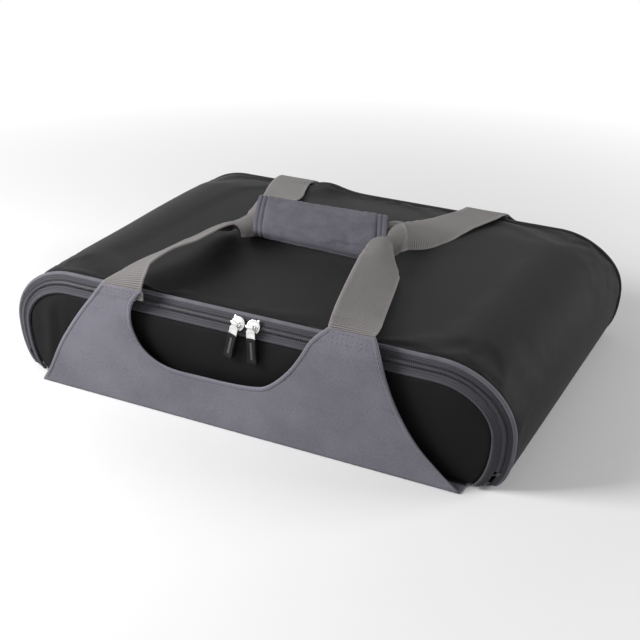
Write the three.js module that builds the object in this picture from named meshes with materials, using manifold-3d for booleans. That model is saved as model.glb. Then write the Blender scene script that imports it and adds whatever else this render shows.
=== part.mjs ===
// Soft insulated food carrier: a flat zipped bag that lies on its base, with a front panel that
// folds down, fabric slings front and rear, two webbing handles and a padded grip wrap.
// Millimetres, +Z up, X across the front, +Y to the rear, origin under the middle of the base.
import * as THREE from 'three';
import { mergeVertices } from 'three/addons/utils/BufferGeometryUtils.js';
import Module from 'manifold-3d';

const wasm = await Module();
wasm.setup();

// Fits between pieces
const clearance = 0.3;
const cutOverrun = 2;
const weldDistance = 0.0003;

// Bag body: outer size and the rounded section seen from the front
const bagLength = 448;
const bagHeight = 97;
const widestHeight = 44.4;
const topCornerAcross = 61;
const bottomCornerAcross = 18;
const panelFaceHalfDepth = 149.2;
const panelStandOut = 7.2;
const rearRollShare = 0.7;

// Fabric layers of the walls
const shellThickness = 1.2;
const foamThickness = 5;
const liningThickness = 1;
const boardThickness = 2;

// Zip band between the front edge of the shell and the front panel
const bandInset = 13.8;
const edgeCordRadius = 2;
const panelCordRadius = 1.4;
const edgeCordInset = 1.2;
const panelCordSink = 0.6;
const tapeThickness = 0.8;
const toothThickness = 1.6;
const toothReach = 2.6;
const toothSpine = 1;
const toothPitch = 4.2;
const toothTaper = 0.09;
const bandFootAngle = -72;
const zipFootAngle = -38;
const zipStopLength = 4;
const panelFootAngle = -75;

// Zip sliders and their pulls
const sliderLength = 11;
const sliderWidth = 9.4;
const sliderPlate = 1.3;
const sliderShoulderShare = 0.55;
const sliderFlange = 1;
const crownPost = 1.3;
const crownRise = 4;
const crownPinRadius = 0.7;
const knuckleWall = 0.85;
const knuckleSides = 12;
const tabWidth = 5.2;
const tabThickness = 1.2;
const tabLength = 17;
const gripStart = 9;
const gripLength = 23;
const gripWidth = 9;
const gripThickness = 3.2;
const gripBevel = 0.6;
const leftSliderX = -0.6;
const rightSliderX = 12.8;
const leftPullYaw = 16;
const rightPullYaw = -2;

// Slings: the fabric cradle under the bag and the two U-shaped sheets that stand up from it
const slingThickness = 1.2;
const slingSideInset = 34;
const slingArmHeight = 103;
const slingPullRoom = 10.4;
const slingLean = 1.7;
const slingFootGap = 0.9;
const cradleSetback = 0.6;

// Webbing handles
const webbingWidth = 38;
const webbingThickness = 1.8;
const leftArmX = -102;
const rightArmX = 98;
const strapRise = 12;
const strapLead = 8;
const layerGap = 0.5;

// Grip wrap that holds both handles together
const wrapLength = 127;
const wrapX = -7;
const wrapY = 8;
const wrapZ = 114;
const wrapTilt = 26;
const wrapFloor = 2;
const wrapCover = 2.4;
const wrapWall = 1.2;
const wrapSideRoom = 1.5;
const closureThickness = 0.7;
const closureHeight = 4;

// Steps of the round stretches
const cornerSteps = 8;
const footSteps = 4;
const cordSides = 8;
const strapSteps = 3;

const radians = THREE.MathUtils.degToRad;

// Places worked out from the sizes above
const bagBottom = slingThickness + clearance;
const halfLength = bagLength / 2;
const topCornerX = halfLength - topCornerAcross;
const footX = halfLength - bottomCornerAcross;
const edgeLineHalfDepth = panelFaceHalfDepth - panelStandOut;
const panelCordInset = edgeCordInset + bandInset;
const panelCordHalfDepth = panelFaceHalfDepth - panelCordSink;
const bandDrop = panelCordHalfDepth - edgeLineHalfDepth;
const bandWidth = Math.hypot(bandInset, bandDrop);
const bandIn = bandInset / bandWidth;
const bandOut = bandDrop / bandWidth;
const shellHalfDepth = edgeLineHalfDepth - edgeCordRadius - clearance;
const wallHalfDepth = shellHalfDepth - clearance;
const crownSpan = tabWidth + 2 * clearance + 2 * crownPost;
const wrapHalf = webbingWidth / 2 + wrapSideRoom + wrapWall;
const rearWebbingLift = clearance + webbingThickness / 2;
const frontWebbingLift = rearWebbingLift + webbingThickness + layerGap;
const wrapInnerHeight = 2 * (webbingThickness + clearance) + layerGap;
const wrapMid = (wrapInnerHeight + wrapCover - wrapFloor) / 2;
const slingHalfWidth = halfLength - slingSideInset;
const slingFootPlane = panelFaceHalfDepth + slingPullRoom;
const slingArmPlane = slingFootPlane + slingThickness / 2
  - slingArmHeight * Math.tan(radians(slingLean));

const carrier = new THREE.Group();

// Colour, roughness and metalness of each finish
function finish(color, roughness, metalness = 0) {
  return new THREE.MeshStandardMaterial({ color, roughness, metalness });
}

const finishes = {
  blackFabric: () => finish(0x2a2a2d, 0.78),
  greyFabric: () => finish(0x76747d, 0.85),
  bandFabric: () => finish(0x55545b, 0.82),
  zipTape: () => finish(0x4c4b52, 0.85),
  zipTeeth: () => finish(0x46454c, 0.5),
  webbing: () => finish(0x8f8987, 0.88),
  foam: () => finish(0xd9dadb, 0.95),
  lining: () => finish(0xc3c7ca, 0.35, 0.3),
  board: () => finish(0x8b8b86, 0.7),
  nickel: () => finish(0xdfe0e0, 0.22, 1),
  grip: () => finish(0x161617, 0.5),
  hookLoop: () => finish(0x2b2b30, 0.95),
};

function addPiece(name, geometry, look, parent = carrier) {
  const mesh = new THREE.Mesh(geometry, finishes[look]());
  mesh.name = name;
  parent.add(mesh);
  return mesh;
}

// Closed body through a row of rings with equal numbers of points, capped at both ends
function loftBody(rings) {
  const size = rings[0].length;
  const positions = rings.flat().flatMap((p) => [p.x, p.y, p.z]);
  const indices = [];
  for (let r = 0; r < rings.length - 1; r += 1) {
    for (let i = 0; i < size; i += 1) {
      const a = r * size + i;
      const b = r * size + ((i + 1) % size);
      indices.push(a, b, b + size, a, b + size, a + size);
    }
  }
  const lastRing = (rings.length - 1) * size;
  for (const [a, b, c] of capTriangles(rings[0])) {
    indices.push(c, b, a);
  }
  for (const [a, b, c] of capTriangles(rings[rings.length - 1])) {
    indices.push(lastRing + a, lastRing + b, lastRing + c);
  }
  return outwardGeometry(positions, indices);
}

// Triangles over a flat ring, found in the plane that the ring lies in
function capTriangles(ring) {
  const normal = new THREE.Vector3();
  for (let i = 0; i < ring.length; i += 1) {
    const p = ring[i];
    const q = ring[(i + 1) % ring.length];
    normal.add(new THREE.Vector3().crossVectors(p, q));
  }
  normal.normalize();
  const across = ring[1].clone().sub(ring[0]);
  across.addScaledVector(normal, -across.dot(normal)).normalize();
  const up = new THREE.Vector3().crossVectors(normal, across);
  const flat = ring.map((p) => new THREE.Vector2(p.dot(across), p.dot(up)));
  return THREE.ShapeUtils.triangulateShape(flat, []);
}

// Geometry from points and triangles, turned inside out where its volume comes out negative
function outwardGeometry(positions, indices) {
  const corner = [new THREE.Vector3(), new THREE.Vector3(), new THREE.Vector3()];
  let volume = 0;
  for (let i = 0; i < indices.length; i += 3) {
    corner.forEach((c, k) => c.fromArray(positions, 3 * indices[i + k]));
    volume += corner[0].dot(corner[1].clone().cross(corner[2]));
  }
  const geometry = new THREE.BufferGeometry();
  geometry.setAttribute('position', new THREE.Float32BufferAttribute(positions, 3));
  geometry.setIndex(volume < 0 ? indices.slice().reverse() : indices);
  geometry.computeVertexNormals();
  return geometry;
}

function toSolid(geometry) {
  const plain = geometry.clone();
  plain.deleteAttribute('normal');
  plain.deleteAttribute('uv');
  const merged = mergeVertices(plain, weldDistance);
  return new wasm.Manifold(new wasm.Mesh({
    numProp: 3,
    vertProperties: new Float32Array(merged.attributes.position.array),
    triVerts: new Uint32Array(merged.index.array),
  }));
}

function fromSolid(solid) {
  const mesh = solid.getMesh();
  const geometry = new THREE.BufferGeometry();
  geometry.setAttribute('position', new THREE.Float32BufferAttribute(mesh.vertProperties, 3));
  geometry.setIndex(Array.from(mesh.triVerts));
  geometry.computeVertexNormals();
  return geometry;
}

function joinAll(geometries) {
  const whole = geometries.map(toSolid).reduce((a, b) => a.add(b));
  return fromSolid(whole);
}

function cutFrom(geometry, cutter) {
  return fromSolid(toSolid(geometry).subtract(toSolid(cutter)));
}

// Box between two corners
function boxBetween(low, high) {
  const size = high.clone().sub(low);
  const geometry = new THREE.BoxGeometry(size.x, size.y, size.z);
  const middle = low.clone().add(high).multiplyScalar(0.5);
  return geometry.translate(middle.x, middle.y, middle.z);
}

// Outline of the bag's section, from the right foot over the top to the left foot. The foot
// keeps its height where only the sides draw in, and rises with the layer where it is a lining.
function sectionPoints(inset, { footRise = inset, footDraw = 0, footAngle = -90 } = {}) {
  const points = [];
  const footAcross = bottomCornerAcross - (footDraw ? 0 : inset);
  const footCentre = footX - footDraw;
  for (let i = 0; i <= footSteps; i += 1) {
    const a = radians(footAngle * (1 - i / footSteps));
    const drop = widestHeight - bagBottom - footRise;
    points.push([footCentre + footAcross * Math.cos(a), widestHeight + drop * Math.sin(a)]);
  }
  for (let i = 1; i <= cornerSteps; i += 1) {
    const a = radians(90 * i / cornerSteps);
    const rise = bagHeight - widestHeight - inset;
    const reach = topCornerAcross - inset;
    points.push([topCornerX + reach * Math.cos(a), widestHeight + rise * Math.sin(a)]);
  }
  const left = points.map(([x, z]) => [-x, z]).reverse();
  return points.concat(left);
}

// A section that runs along the depth, closed where the outline of points closes
function depthPrism(outline, fromY, toY) {
  const ringAt = (y) => outline.map(([x, z]) => new THREE.Vector3(x, y, z));
  return loftBody([ringAt(fromY), ringAt(toY)]);
}

// Layer of the walls that goes up one side, over the top and down the other
function archLayer(inset, thickness, halfDepth) {
  const outer = sectionPoints(inset);
  const inner = sectionPoints(inset + thickness).reverse();
  return depthPrism(outer.concat(inner), -halfDepth, halfDepth);
}

// Flat layer of the base, between the feet of the arch layer of the same inset
function baseLayer(inset, thickness, halfDepth) {
  const halfWidth = footX - clearance;
  const low = bagBottom + inset;
  return boxBetween(
    new THREE.Vector3(-halfWidth, -halfDepth, low),
    new THREE.Vector3(halfWidth, halfDepth, low + thickness),
  );
}

function buildWalls() {
  const foamInset = shellThickness + clearance;
  const liningInset = foamInset + foamThickness + clearance;
  addPiece('shell_outer', archLayer(0, shellThickness, shellHalfDepth), 'blackFabric');
  addPiece('shell_foam', archLayer(foamInset, foamThickness, wallHalfDepth), 'foam');
  addPiece('base_outer', baseLayer(0, shellThickness, wallHalfDepth), 'blackFabric');
  const baseFoam = foamThickness - boardThickness - clearance;
  addPiece('base_foam', baseLayer(foamInset, baseFoam, wallHalfDepth), 'foam');
  const boardInset = foamInset + baseFoam + clearance;
  addPiece('base_board', baseLayer(boardInset, boardThickness, wallHalfDepth), 'board');
  const tube = depthPrism(sectionPoints(liningInset), -wallHalfDepth, wallHalfDepth);
  const hollow = depthPrism(
    sectionPoints(liningInset + liningThickness),
    -wallHalfDepth - cutOverrun,
    wallHalfDepth + cutOverrun,
  );
  addPiece('lining', cutFrom(tube, hollow), 'lining');
}

// Closed outline of an end panel, drawn in from the shell's section at its sides and top
function panelRing(inset, halfDepth, lift = 0) {
  const outline = sectionPoints(inset, {
    footRise: lift,
    footDraw: inset,
    footAngle: panelFootAngle,
  });
  return outline.map(([x, z]) => new THREE.Vector3(x, halfDepth, z));
}

function panelPlate(inset, nearDepth, thickness, lift = 0) {
  return loftBody([panelRing(inset, nearDepth, lift), panelRing(inset, nearDepth + thickness, lift)]);
}

// Rear end: a dished fabric panel that rolls from the shell's edge to a flat back
function buildRear() {
  const rimInset = edgeCordInset + edgeCordRadius + clearance;
  const rimDepth = edgeLineHalfDepth + shellThickness;
  const rollInset = (rimInset + panelCordInset) / 2;
  const rollDepth = rimDepth + (panelFaceHalfDepth - rimDepth) * rearRollShare;
  const back = panelFaceHalfDepth;
  const rings = [
    panelRing(panelCordInset, back),
    panelRing(rollInset, rollDepth),
    panelRing(rimInset, rimDepth),
    panelRing(rimInset + shellThickness, rimDepth - shellThickness / 2, shellThickness),
    panelRing(rollInset + shellThickness, rollDepth - shellThickness, shellThickness),
    panelRing(panelCordInset + shellThickness, back - shellThickness, shellThickness),
  ];
  addPiece('rear_outer', loftBody(rings), 'blackFabric');
  const layerInset = panelCordInset + shellThickness + clearance;
  const layerLift = shellThickness + clearance;
  const foamNear = back - shellThickness - clearance - foamThickness;
  addPiece('rear_foam', panelPlate(layerInset, foamNear, foamThickness, layerLift), 'foam');
  const liningNear = wallHalfDepth + clearance;
  const liningInset = shellThickness + foamThickness + 2 * clearance;
  const liningOutline = sectionPoints(liningInset);
  const lining = depthPrism(liningOutline, liningNear, liningNear + liningThickness);
  addPiece('rear_lining', lining, 'lining');
}

// Lengths along the zip band: its foot, its round corner and the whole run from foot to foot
const footArc = (widestHeight - bagBottom) * radians(-bandFootAngle);
const cornerArc = (topCornerAcross + bagHeight - widestHeight) / 2 * Math.PI / 2;
const bandRun = 2 * (footArc + cornerArc + topCornerX);

// Outer edge of the zip band at a share of its length, and the way across it seen from the front
function bandFrame(share) {
  const outer = bandPoint(share, edgeCordInset);
  const inward = bandPoint(share, panelCordInset).sub(outer).normalize();
  return { outer, inward };
}

// Place on the band's outline at any share of its length, from the right foot to the left
function bandPoint(share, inset) {
  const drop = widestHeight - bagBottom;
  const rise = bagHeight - widestHeight - inset;
  const reach = topCornerAcross - inset;
  const footCentre = footX - inset;
  const side = share > 0.5 ? -1 : 1;
  const run = Math.min(share, 1 - share) * bandRun;
  if (run < footArc) {
    const a = radians(bandFootAngle * (1 - run / footArc));
    const x = footCentre + bottomCornerAcross * Math.cos(a);
    return new THREE.Vector2(side * x, widestHeight + drop * Math.sin(a));
  }
  if (run < footArc + cornerArc) {
    const a = Math.PI / 2 * (run - footArc) / cornerArc;
    return new THREE.Vector2(side * (topCornerX + reach * Math.cos(a)), widestHeight + rise * Math.sin(a));
  }
  return new THREE.Vector2(side * (bandRun / 2 - run), widestHeight + rise);
}

// Length along the band from its foot to the angle given on the bottom corner
function footRun(angle) {
  return (widestHeight - bagBottom) * radians(angle - bandFootAngle);
}

// Shares of the band at which its strips are stepped: close in the corners, one span on top
function bandShares() {
  const footShare = footArc / bandRun;
  const cornerShare = 0.5 - topCornerX / bandRun;
  const shares = [];
  for (let i = 0; i <= footSteps; i += 1) {
    shares.push(footShare * i / footSteps);
  }
  for (let i = 1; i <= cornerSteps; i += 1) {
    shares.push(footShare + (cornerShare - footShare) * i / cornerSteps);
  }
  return shares.concat(shares.map((s) => 1 - s).reverse());
}

function bandPlace(share, across, out) {
  const { outer, inward } = bandFrame(share);
  const x = outer.x + inward.x * (across * bandIn - out * bandOut);
  const z = outer.y + inward.y * (across * bandIn - out * bandOut);
  return new THREE.Vector3(x, -edgeLineHalfDepth - across * bandOut - out * bandIn, z);
}

// Strip along the band with the same section all the way
function bandStrip(section, shares = bandShares()) {
  return loftBody(shares.map((s) => section.map(([u, w]) => bandPlace(s, u, w))));
}

function rectangle(fromU, toU, fromW, toW) {
  return [[fromU, fromW], [toU, fromW], [toU, toW], [fromU, toW]];
}

function circle(centreU, radius) {
  return Array.from({ length: cordSides }, (_, i) => {
    const a = 2 * Math.PI * (i + 0.5) / cordSides;
    return [centreU + radius * Math.cos(a), radius * Math.sin(a)];
  });
}

// The same cord on the rear edge, mirrored front to back
function mirrorDepth(geometry) {
  const mirrored = geometry.clone().scale(1, -1, 1);
  const indices = Array.from(mirrored.index.array);
  return outwardGeometry(Array.from(mirrored.attributes.position.array), indices);
}

const toothMid = bandWidth / 2;
const tapeTop = tapeThickness / 2;
const toothBase = tapeTop + clearance;
const toothTop = toothBase + toothThickness;
const tipLine = toothReach / 2;
const rootLine = tipLine + clearance;
const spineLine = rootLine + toothSpine;

// Row of zip teeth on one comb. Teeth point across the mid line, and the other row's teeth fill
// the gaps between them, half a pitch along, with the same clearance at the tips and the flanks.
function toothRow(side, offsetShare) {
  const startRun = footRun(zipFootAngle);
  const count = Math.floor((bandRun - 2 * startRun) / toothPitch);
  const pitch = (bandRun - 2 * startRun) / (count + 0.5);
  const rootHalf = (pitch / 2 - clearance) / 2 + toothTaper;
  const tipHalf = rootHalf - 2 * toothTaper;
  const positions = [];
  const indices = [];
  const add = (run, u, w) => {
    const p = bandPlace(run / bandRun, toothMid + side * u, w);
    positions.push(p.x, p.y, p.z);
    return positions.length / 3 - 1;
  };
  const addPair = (run, u) => [add(run, u, toothBase), add(run, u, toothTop)];
  const wall = (p, q) => indices.push(p[0], q[0], q[1], p[0], q[1], p[1]);
  const fan = (hub, points, level) => {
    for (let i = 0; i < points.length - 1; i += 1) {
      const [a, b] = [points[i][level], points[i + 1][level]];
      indices.push(...(level ? [hub[level], a, b] : [hub[level], b, a]));
    }
  };
  const begin = startRun + offsetShare * pitch;
  let back = addPair(begin, spineLine);
  let edge = addPair(begin, rootLine);
  wall(back, edge);
  for (let i = 0; i < count; i += 1) {
    const middle = begin + (i + 0.5) * pitch;
    const end = begin + (i + 1) * pitch;
    const points = [
      edge,
      addPair(middle - rootHalf, rootLine),
      addPair(middle - tipHalf, -tipLine),
      addPair(middle + tipHalf, -tipLine),
      addPair(middle + rootHalf, rootLine),
      addPair(end, rootLine),
    ];
    const nextBack = addPair(end, spineLine);
    points.slice(0, -1).forEach((p, k) => wall(p, points[k + 1]));
    wall(nextBack, back);
    for (const level of [0, 1]) {
      fan(back, points.slice(0, 2), level);
      fan(points[4], [points[1], points[2], points[3]], level);
      fan(back, [points[1], points[4]], level);
      fan(back, [points[4], points[5]], level);
      fan(back, [points[5], nextBack], level);
    }
    back = nextBack;
    edge = points[5];
  }
  wall(edge, back);
  return outwardGeometry(positions, indices);
}

function buildZip(panel) {
  const edgeCord = bandStrip(circle(0, edgeCordRadius));
  addPiece('edge_piping_front', edgeCord, 'bandFabric');
  addPiece('edge_piping_rear', mirrorDepth(edgeCord), 'blackFabric');
  addPiece('panel_piping', bandStrip(circle(bandWidth, panelCordRadius)), 'bandFabric', panel);
  const fromEdge = edgeCordRadius + clearance;
  const toPanel = bandWidth - panelCordRadius - clearance;
  const bodyTape = rectangle(fromEdge, toothMid - rootLine, -tapeTop, tapeTop);
  const panelTape = rectangle(toothMid + rootLine, toPanel, -tapeTop, tapeTop);
  addPiece('zip_tape_body', bandStrip(bodyTape), 'zipTape');
  addPiece('zip_tape_panel', bandStrip(panelTape), 'zipTape', panel);
  addPiece('zip_teeth_body', toothRow(-1, 0), 'zipTeeth');
  addPiece('zip_teeth_panel', toothRow(1, 0.5), 'zipTeeth', panel);
  const stopEnd = footRun(zipFootAngle) - clearance;
  const stopShares = [stopEnd - zipStopLength, stopEnd].map((run) => run / bandRun);
  const stopSection = rectangle(
    toothMid - spineLine,
    toothMid - clearance,
    toothBase,
    toothTop,
  );
  addPiece('zip_stop_right', bandStrip(stopSection, stopShares), 'zipTeeth');
  addPiece('zip_stop_left', bandStrip(stopSection, stopShares.map((s) => 1 - s)), 'zipTeeth');
}

// Front panel: outer fabric, foam and lining, all drawn in from the zip band
function buildPanel(panel) {
  const inset = panelCordInset + panelCordRadius + clearance;
  const faceY = -panelFaceHalfDepth;
  const foamNear = faceY + shellThickness + clearance;
  const liningNear = foamNear + foamThickness + clearance;
  addPiece('panel_outer', panelPlate(inset, faceY, shellThickness), 'blackFabric', panel);
  const inner = inset + clearance;
  addPiece('panel_foam', panelPlate(inner, foamNear, foamThickness, clearance), 'foam', panel);
  const lining = panelPlate(inner, liningNear, liningThickness, clearance);
  addPiece('panel_lining', lining, 'lining', panel);
}

// Fabric tape along the bottom edge, which carries the front panel's fold
function buildFoldTape() {
  const halfWidth = footX - panelCordInset;
  const tape = boxBetween(
    new THREE.Vector3(-halfWidth, -panelFaceHalfDepth - clearance, bagBottom),
    new THREE.Vector3(halfWidth, -wallHalfDepth - clearance, bagBottom + tapeThickness),
  );
  addPiece('panel_fold_tape', tape, 'blackFabric');
}

// Slider: a plate with rounded ends over the teeth, a flange beside them and a crown for the pull
function sliderBody(yaw) {
  const plateBase = clearance;
  const plate = new THREE.Shape();
  const tip = sliderLength / 2;
  const edge = sliderWidth / 2;
  const shoulder = edge * sliderShoulderShare;
  plate.moveTo(-tip, -shoulder);
  plate.quadraticCurveTo(-tip, -edge, -shoulder, -edge);
  plate.lineTo(shoulder, -edge);
  plate.quadraticCurveTo(tip, -edge, tip, -shoulder);
  plate.lineTo(tip, shoulder);
  plate.quadraticCurveTo(tip, edge, shoulder, edge);
  plate.lineTo(-shoulder, edge);
  plate.quadraticCurveTo(-tip, edge, -tip, shoulder);
  plate.closePath();
  const plateBody = new THREE.ExtrudeGeometry(plate, {
    depth: sliderPlate,
    bevelEnabled: false,
    curveSegments: 3,
  }).translate(0, 0, plateBase);
  const flangeFar = -spineLine - clearance - sliderFlange;
  const flange = boxBetween(
    new THREE.Vector3(-shoulder, flangeFar, clearance - toothThickness),
    new THREE.Vector3(shoulder, -spineLine - clearance, plateBase + sliderPlate / 2),
  );
  const parts = [plateBody, flange];
  const axle = crownAxle(yaw);
  const top = plateBase + sliderPlate + crownRise;
  for (const end of [-1, 1]) {
    const post = new THREE.BoxGeometry(crownPost, crownPost, top + crownPinRadius - plateBase);
    post.translate(end * (crownSpan - crownPost) / 2, 0, (top + crownPinRadius + plateBase) / 2);
    parts.push(post.rotateZ(-radians(yaw)));
  }
  parts.push(axle.translate(0, 0, top));
  return joinAll(parts);
}

// Round pin between the crown's posts, which the pull's knuckle turns on
function crownAxle(yaw) {
  const pin = new THREE.CylinderGeometry(crownPinRadius, crownPinRadius, crownSpan - crownPost, cordSides);
  return pin.rotateZ(Math.PI / 2).rotateZ(-radians(yaw));
}

// Metal tab: a knuckle round the crown's pin and a plate that the grip is moulded on
function pullTab() {
  const bore = crownPinRadius + clearance;
  const outerRadius = bore + knuckleWall;
  const knuckle = new THREE.CylinderGeometry(outerRadius, outerRadius, tabWidth, knuckleSides);
  const hole = new THREE.CylinderGeometry(bore, bore, tabWidth + cutOverrun, knuckleSides);
  const plate = boxBetween(
    new THREE.Vector3(-tabWidth / 2, -tabThickness / 2, -tabLength),
    new THREE.Vector3(tabWidth / 2, tabThickness / 2, -(bore + outerRadius) / 2),
  );
  const ring = toSolid(knuckle.rotateZ(Math.PI / 2)).subtract(toSolid(hole.rotateZ(Math.PI / 2)));
  return fromSolid(ring.add(toSolid(plate)));
}

// Side of the grip, from the neck down: across as shares of its half width, down of its length
const gripSideShares = [
  [0.72, 0], [0.88, 0.08], [0.92, 0.17], [0.86, 0.3], [0.82, 0.45], [0.84, 0.62], [0.94, 0.8],
  [0.97, 0.9], [0.86, 0.97], [0.5, 1],
];

// Moulded grip with a waist, closed round the tab's plate with a little room
function pullGrip() {
  const side = gripSideShares.map(([x, y]) => [x * gripWidth / 2, -y * gripLength]);
  const mirrored = side.map(([x, y]) => [-x, y]).reverse();
  const outline = side.concat(mirrored).map(([x, y]) => new THREE.Vector2(x, y));
  const body = new THREE.ExtrudeGeometry(new THREE.Shape(outline), {
    depth: gripThickness - 2 * gripBevel,
    bevelEnabled: true,
    bevelThickness: gripBevel,
    bevelSize: gripBevel / 2,
    bevelSegments: 1,
  });
  body.translate(0, -gripStart, gripBevel - gripThickness / 2);
  body.rotateX(Math.PI / 2);
  const slot = boxBetween(
    new THREE.Vector3(
      -tabWidth / 2 - clearance,
      -tabThickness / 2 - clearance,
      -tabLength - clearance,
    ),
    new THREE.Vector3(tabWidth / 2 + clearance, tabThickness / 2 + clearance, -gripStart + cutOverrun),
  );
  return cutFrom(body, slot);
}

// Axes of a pull that hangs straight down from a crown turned on the sloping band
function hangingFrame(yaw) {
  const turn = radians(yaw);
  const axle = new THREE.Vector3(Math.cos(turn), -bandOut * Math.sin(turn), -bandIn * Math.sin(turn));
  const up = new THREE.Vector3(bandIn * Math.tan(turn), 0, 1).normalize();
  return new THREE.Matrix4().makeBasis(axle, new THREE.Vector3().crossVectors(up, axle), up);
}

// Slider and pull at a place along the straight top run of the zip
function buildSlider(side, x, yaw, panel) {
  const share = 0.5 - x / bandRun;
  const seat = bandPlace(share, toothMid, toothTop);
  const slope = Math.atan2(bandOut, bandIn);
  const slider = new THREE.Group();
  slider.position.copy(seat);
  slider.rotation.x = Math.PI / 2 - slope;
  addPiece(`slider_${side}`, sliderBody(yaw), 'nickel', slider);
  const pull = new THREE.Group();
  const pin = bandPlace(share, toothMid, toothTop + clearance + sliderPlate + crownRise);
  pull.position.copy(pin);
  pull.quaternion.setFromRotationMatrix(hangingFrame(yaw));
  addPiece(`pull_tab_${side}`, pullTab(), 'nickel', pull);
  addPiece(`pull_grip_${side}`, pullGrip(), 'grip', pull);
  panel.add(slider, pull);
}

// Outline of the front sling, up as shares of its height. Its sides go across as shares of the
// way from the arm's edge to the foot, and its scoop as shares of the way between the two arms.
const slingLeftSideShares = [[1, 0], [0.8755, 0.13], [0.6681, 0.4], [0.4054, 0.66], [0.1565, 0.87], [0, 1]];
const slingScoopShares = [
  [0, 1], [-0.0668, 0.85], [-0.0644, 0.66], [0.0038, 0.5], [0.1475, 0.408], [0.4418, 0.405],
  [0.6301, 0.428], [0.7184, 0.492], [0.8067, 0.63], [0.8714, 0.775], [0.9244, 0.9], [1, 1],
];
const slingRightSideShares = [[0, 1], [0.0905, 0.87], [0.2552, 0.585], [0.4982, 0.31], [0.7648, 0.13], [1, 0]];

function slingOutline() {
  const half = webbingWidth / 2 + clearance;
  const smooth = (shares, fromX, toX) => {
    const places = shares.map(([x, z]) => {
      return new THREE.Vector2(fromX + (toX - fromX) * x, z * slingArmHeight);
    });
    return new THREE.SplineCurve(places).getPoints(2 * places.length);
  };
  return [
    ...smooth(slingLeftSideShares, leftArmX - half, -slingHalfWidth),
    ...smooth(slingScoopShares, leftArmX + half, rightArmX - half),
    ...smooth(slingRightSideShares, rightArmX + half, slingHalfWidth),
  ];
}

function slingSheet() {
  const sheet = new THREE.ExtrudeGeometry(new THREE.Shape(slingOutline()), {
    depth: slingThickness,
    bevelEnabled: false,
  });
  sheet.rotateX(Math.PI / 2 - radians(slingLean));
  return sheet.translate(0, -slingFootPlane, slingFootGap);
}

// Cradle under the bag and the two sheets. The rear one is the front one turned half round.
function buildSlings(front, rear) {
  const halfDepth = slingFootPlane - cradleSetback;
  const cradle = boxBetween(
    new THREE.Vector3(-slingHalfWidth, -halfDepth, 0),
    new THREE.Vector3(slingHalfWidth, halfDepth, slingThickness),
  );
  addPiece('sling_base', cradle, 'greyFabric');
  addPiece('sling_front', slingSheet(), 'greyFabric', front);
  addPiece('sling_rear', slingSheet().rotateZ(Math.PI), 'greyFabric', rear);
}

// One half of a handle, from the sling's arm to the mouth of the grip wrap. Each row gives the
// shares of the way across and back, the share of the strap's rise, and the way the width points.
const frontLeftStrapShares = [
  [0, 0, 0, 1, 0, 0], [0, 0.004, 0.15, 1, 0, 0], [0.01, 0.05, 0.34, 1, 0, 0],
  [0.03, 0.14, 0.44, 1, 0, 0.05], [0.06, 0.35, 0.34, 0.93, 0, 0.32],
  [0.1, 0.62, 0.14, 0.87, -0.05, 0.45], [0.175, 0.842, -0.15, 0.98, -0.05, 0.15],
  [0.286, 0.921, -0.16, 0.87, -0.45, -0.15], [0.587, 0.979, -0.02, 0.5, -0.79, -0.36],
  [1, 1, 0, 0, -1, -0.49],
];
const frontRightStrapShares = [
  [0, 0, 0, 1, 0, 0], [0, 0.004, 0.15, 1, 0, 0], [0.01, 0.05, 0.34, 1, 0, 0],
  [0.03, 0.14, 0.44, 1, 0, 0.05], [0.1, 0.35, 0.34, 0.97, 0, 0.22],
  [0.2, 0.6, 0.14, 0.94, 0.05, 0.3], [0.277, 0.818, -0.14, 0.99, 0, 0.12],
  [0.373, 0.909, -0.14, 0.87, 0.45, 0.2], [0.639, 0.976, -0.02, 0.5, 0.78, 0.38],
  [1, 1, 0, 0, 1, 0.49],
];
const rearLeftStrapShares = [
  [0, 0, 0, 1, 0, 0], [0, 0.002, 0.08, 1, 0, 0], [0, 0.05, 0.12, 1, 0, 0],
  [0.01, 0.15, 0.14, 1, 0, 0], [0.03, 0.35, 0.14, 1, 0, 0], [0.06, 0.6, 0.18, 1, 0, 0.03],
  [0.127, 0.838, 0.24, 1, 0, 0.08], [0.244, 0.919, 0.18, 0.87, 0.48, 0.22],
  [0.564, 0.978, 0.05, 0.5, 0.79, 0.38], [1, 1, 0, 0, 1, 0.49],
];
const rearRightStrapShares = [
  [0, 0, 0, 1, 0, 0], [0, 0.002, 0.08, 1, 0, 0], [0, 0.05, 0.12, 1, 0, 0],
  [0.02, 0.13, 0.12, 1, 0, 0], [0.06, 0.3, 0, 1, 0, 0], [0.16, 0.55, 0, 1, 0, 0],
  [0.34, 0.798, 0.2, 1, 0, -0.05], [0.429, 0.899, 0.16, 0.87, -0.48, -0.2],
  [0.67, 0.973, 0.05, 0.5, -0.79, -0.38], [1, 1, 0, 0, -1, -0.49],
];

// Place in line with the wrap, some way past one of its mouths, at the height of a webbing layer
function wrapMouth(end, past, lift) {
  const tilt = radians(wrapTilt);
  const out = lift - wrapMid;
  return new THREE.Vector3(
    wrapX + end * (wrapLength / 2 + past),
    wrapY - out * Math.sin(tilt),
    wrapZ + out * Math.cos(tilt),
  );
}

function strapStations(rows, arm, mouth) {
  return rows.map(([across, back, rise, wx, wy, wz]) => ({
    centre: new THREE.Vector3(
      arm.x + (mouth.x - arm.x) * across,
      arm.y + (mouth.y - arm.y) * back,
      arm.z + (mouth.z - arm.z) * back + strapRise * rise,
    ),
    width: new THREE.Vector3(wx, wy, wz).normalize(),
  }));
}

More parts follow.
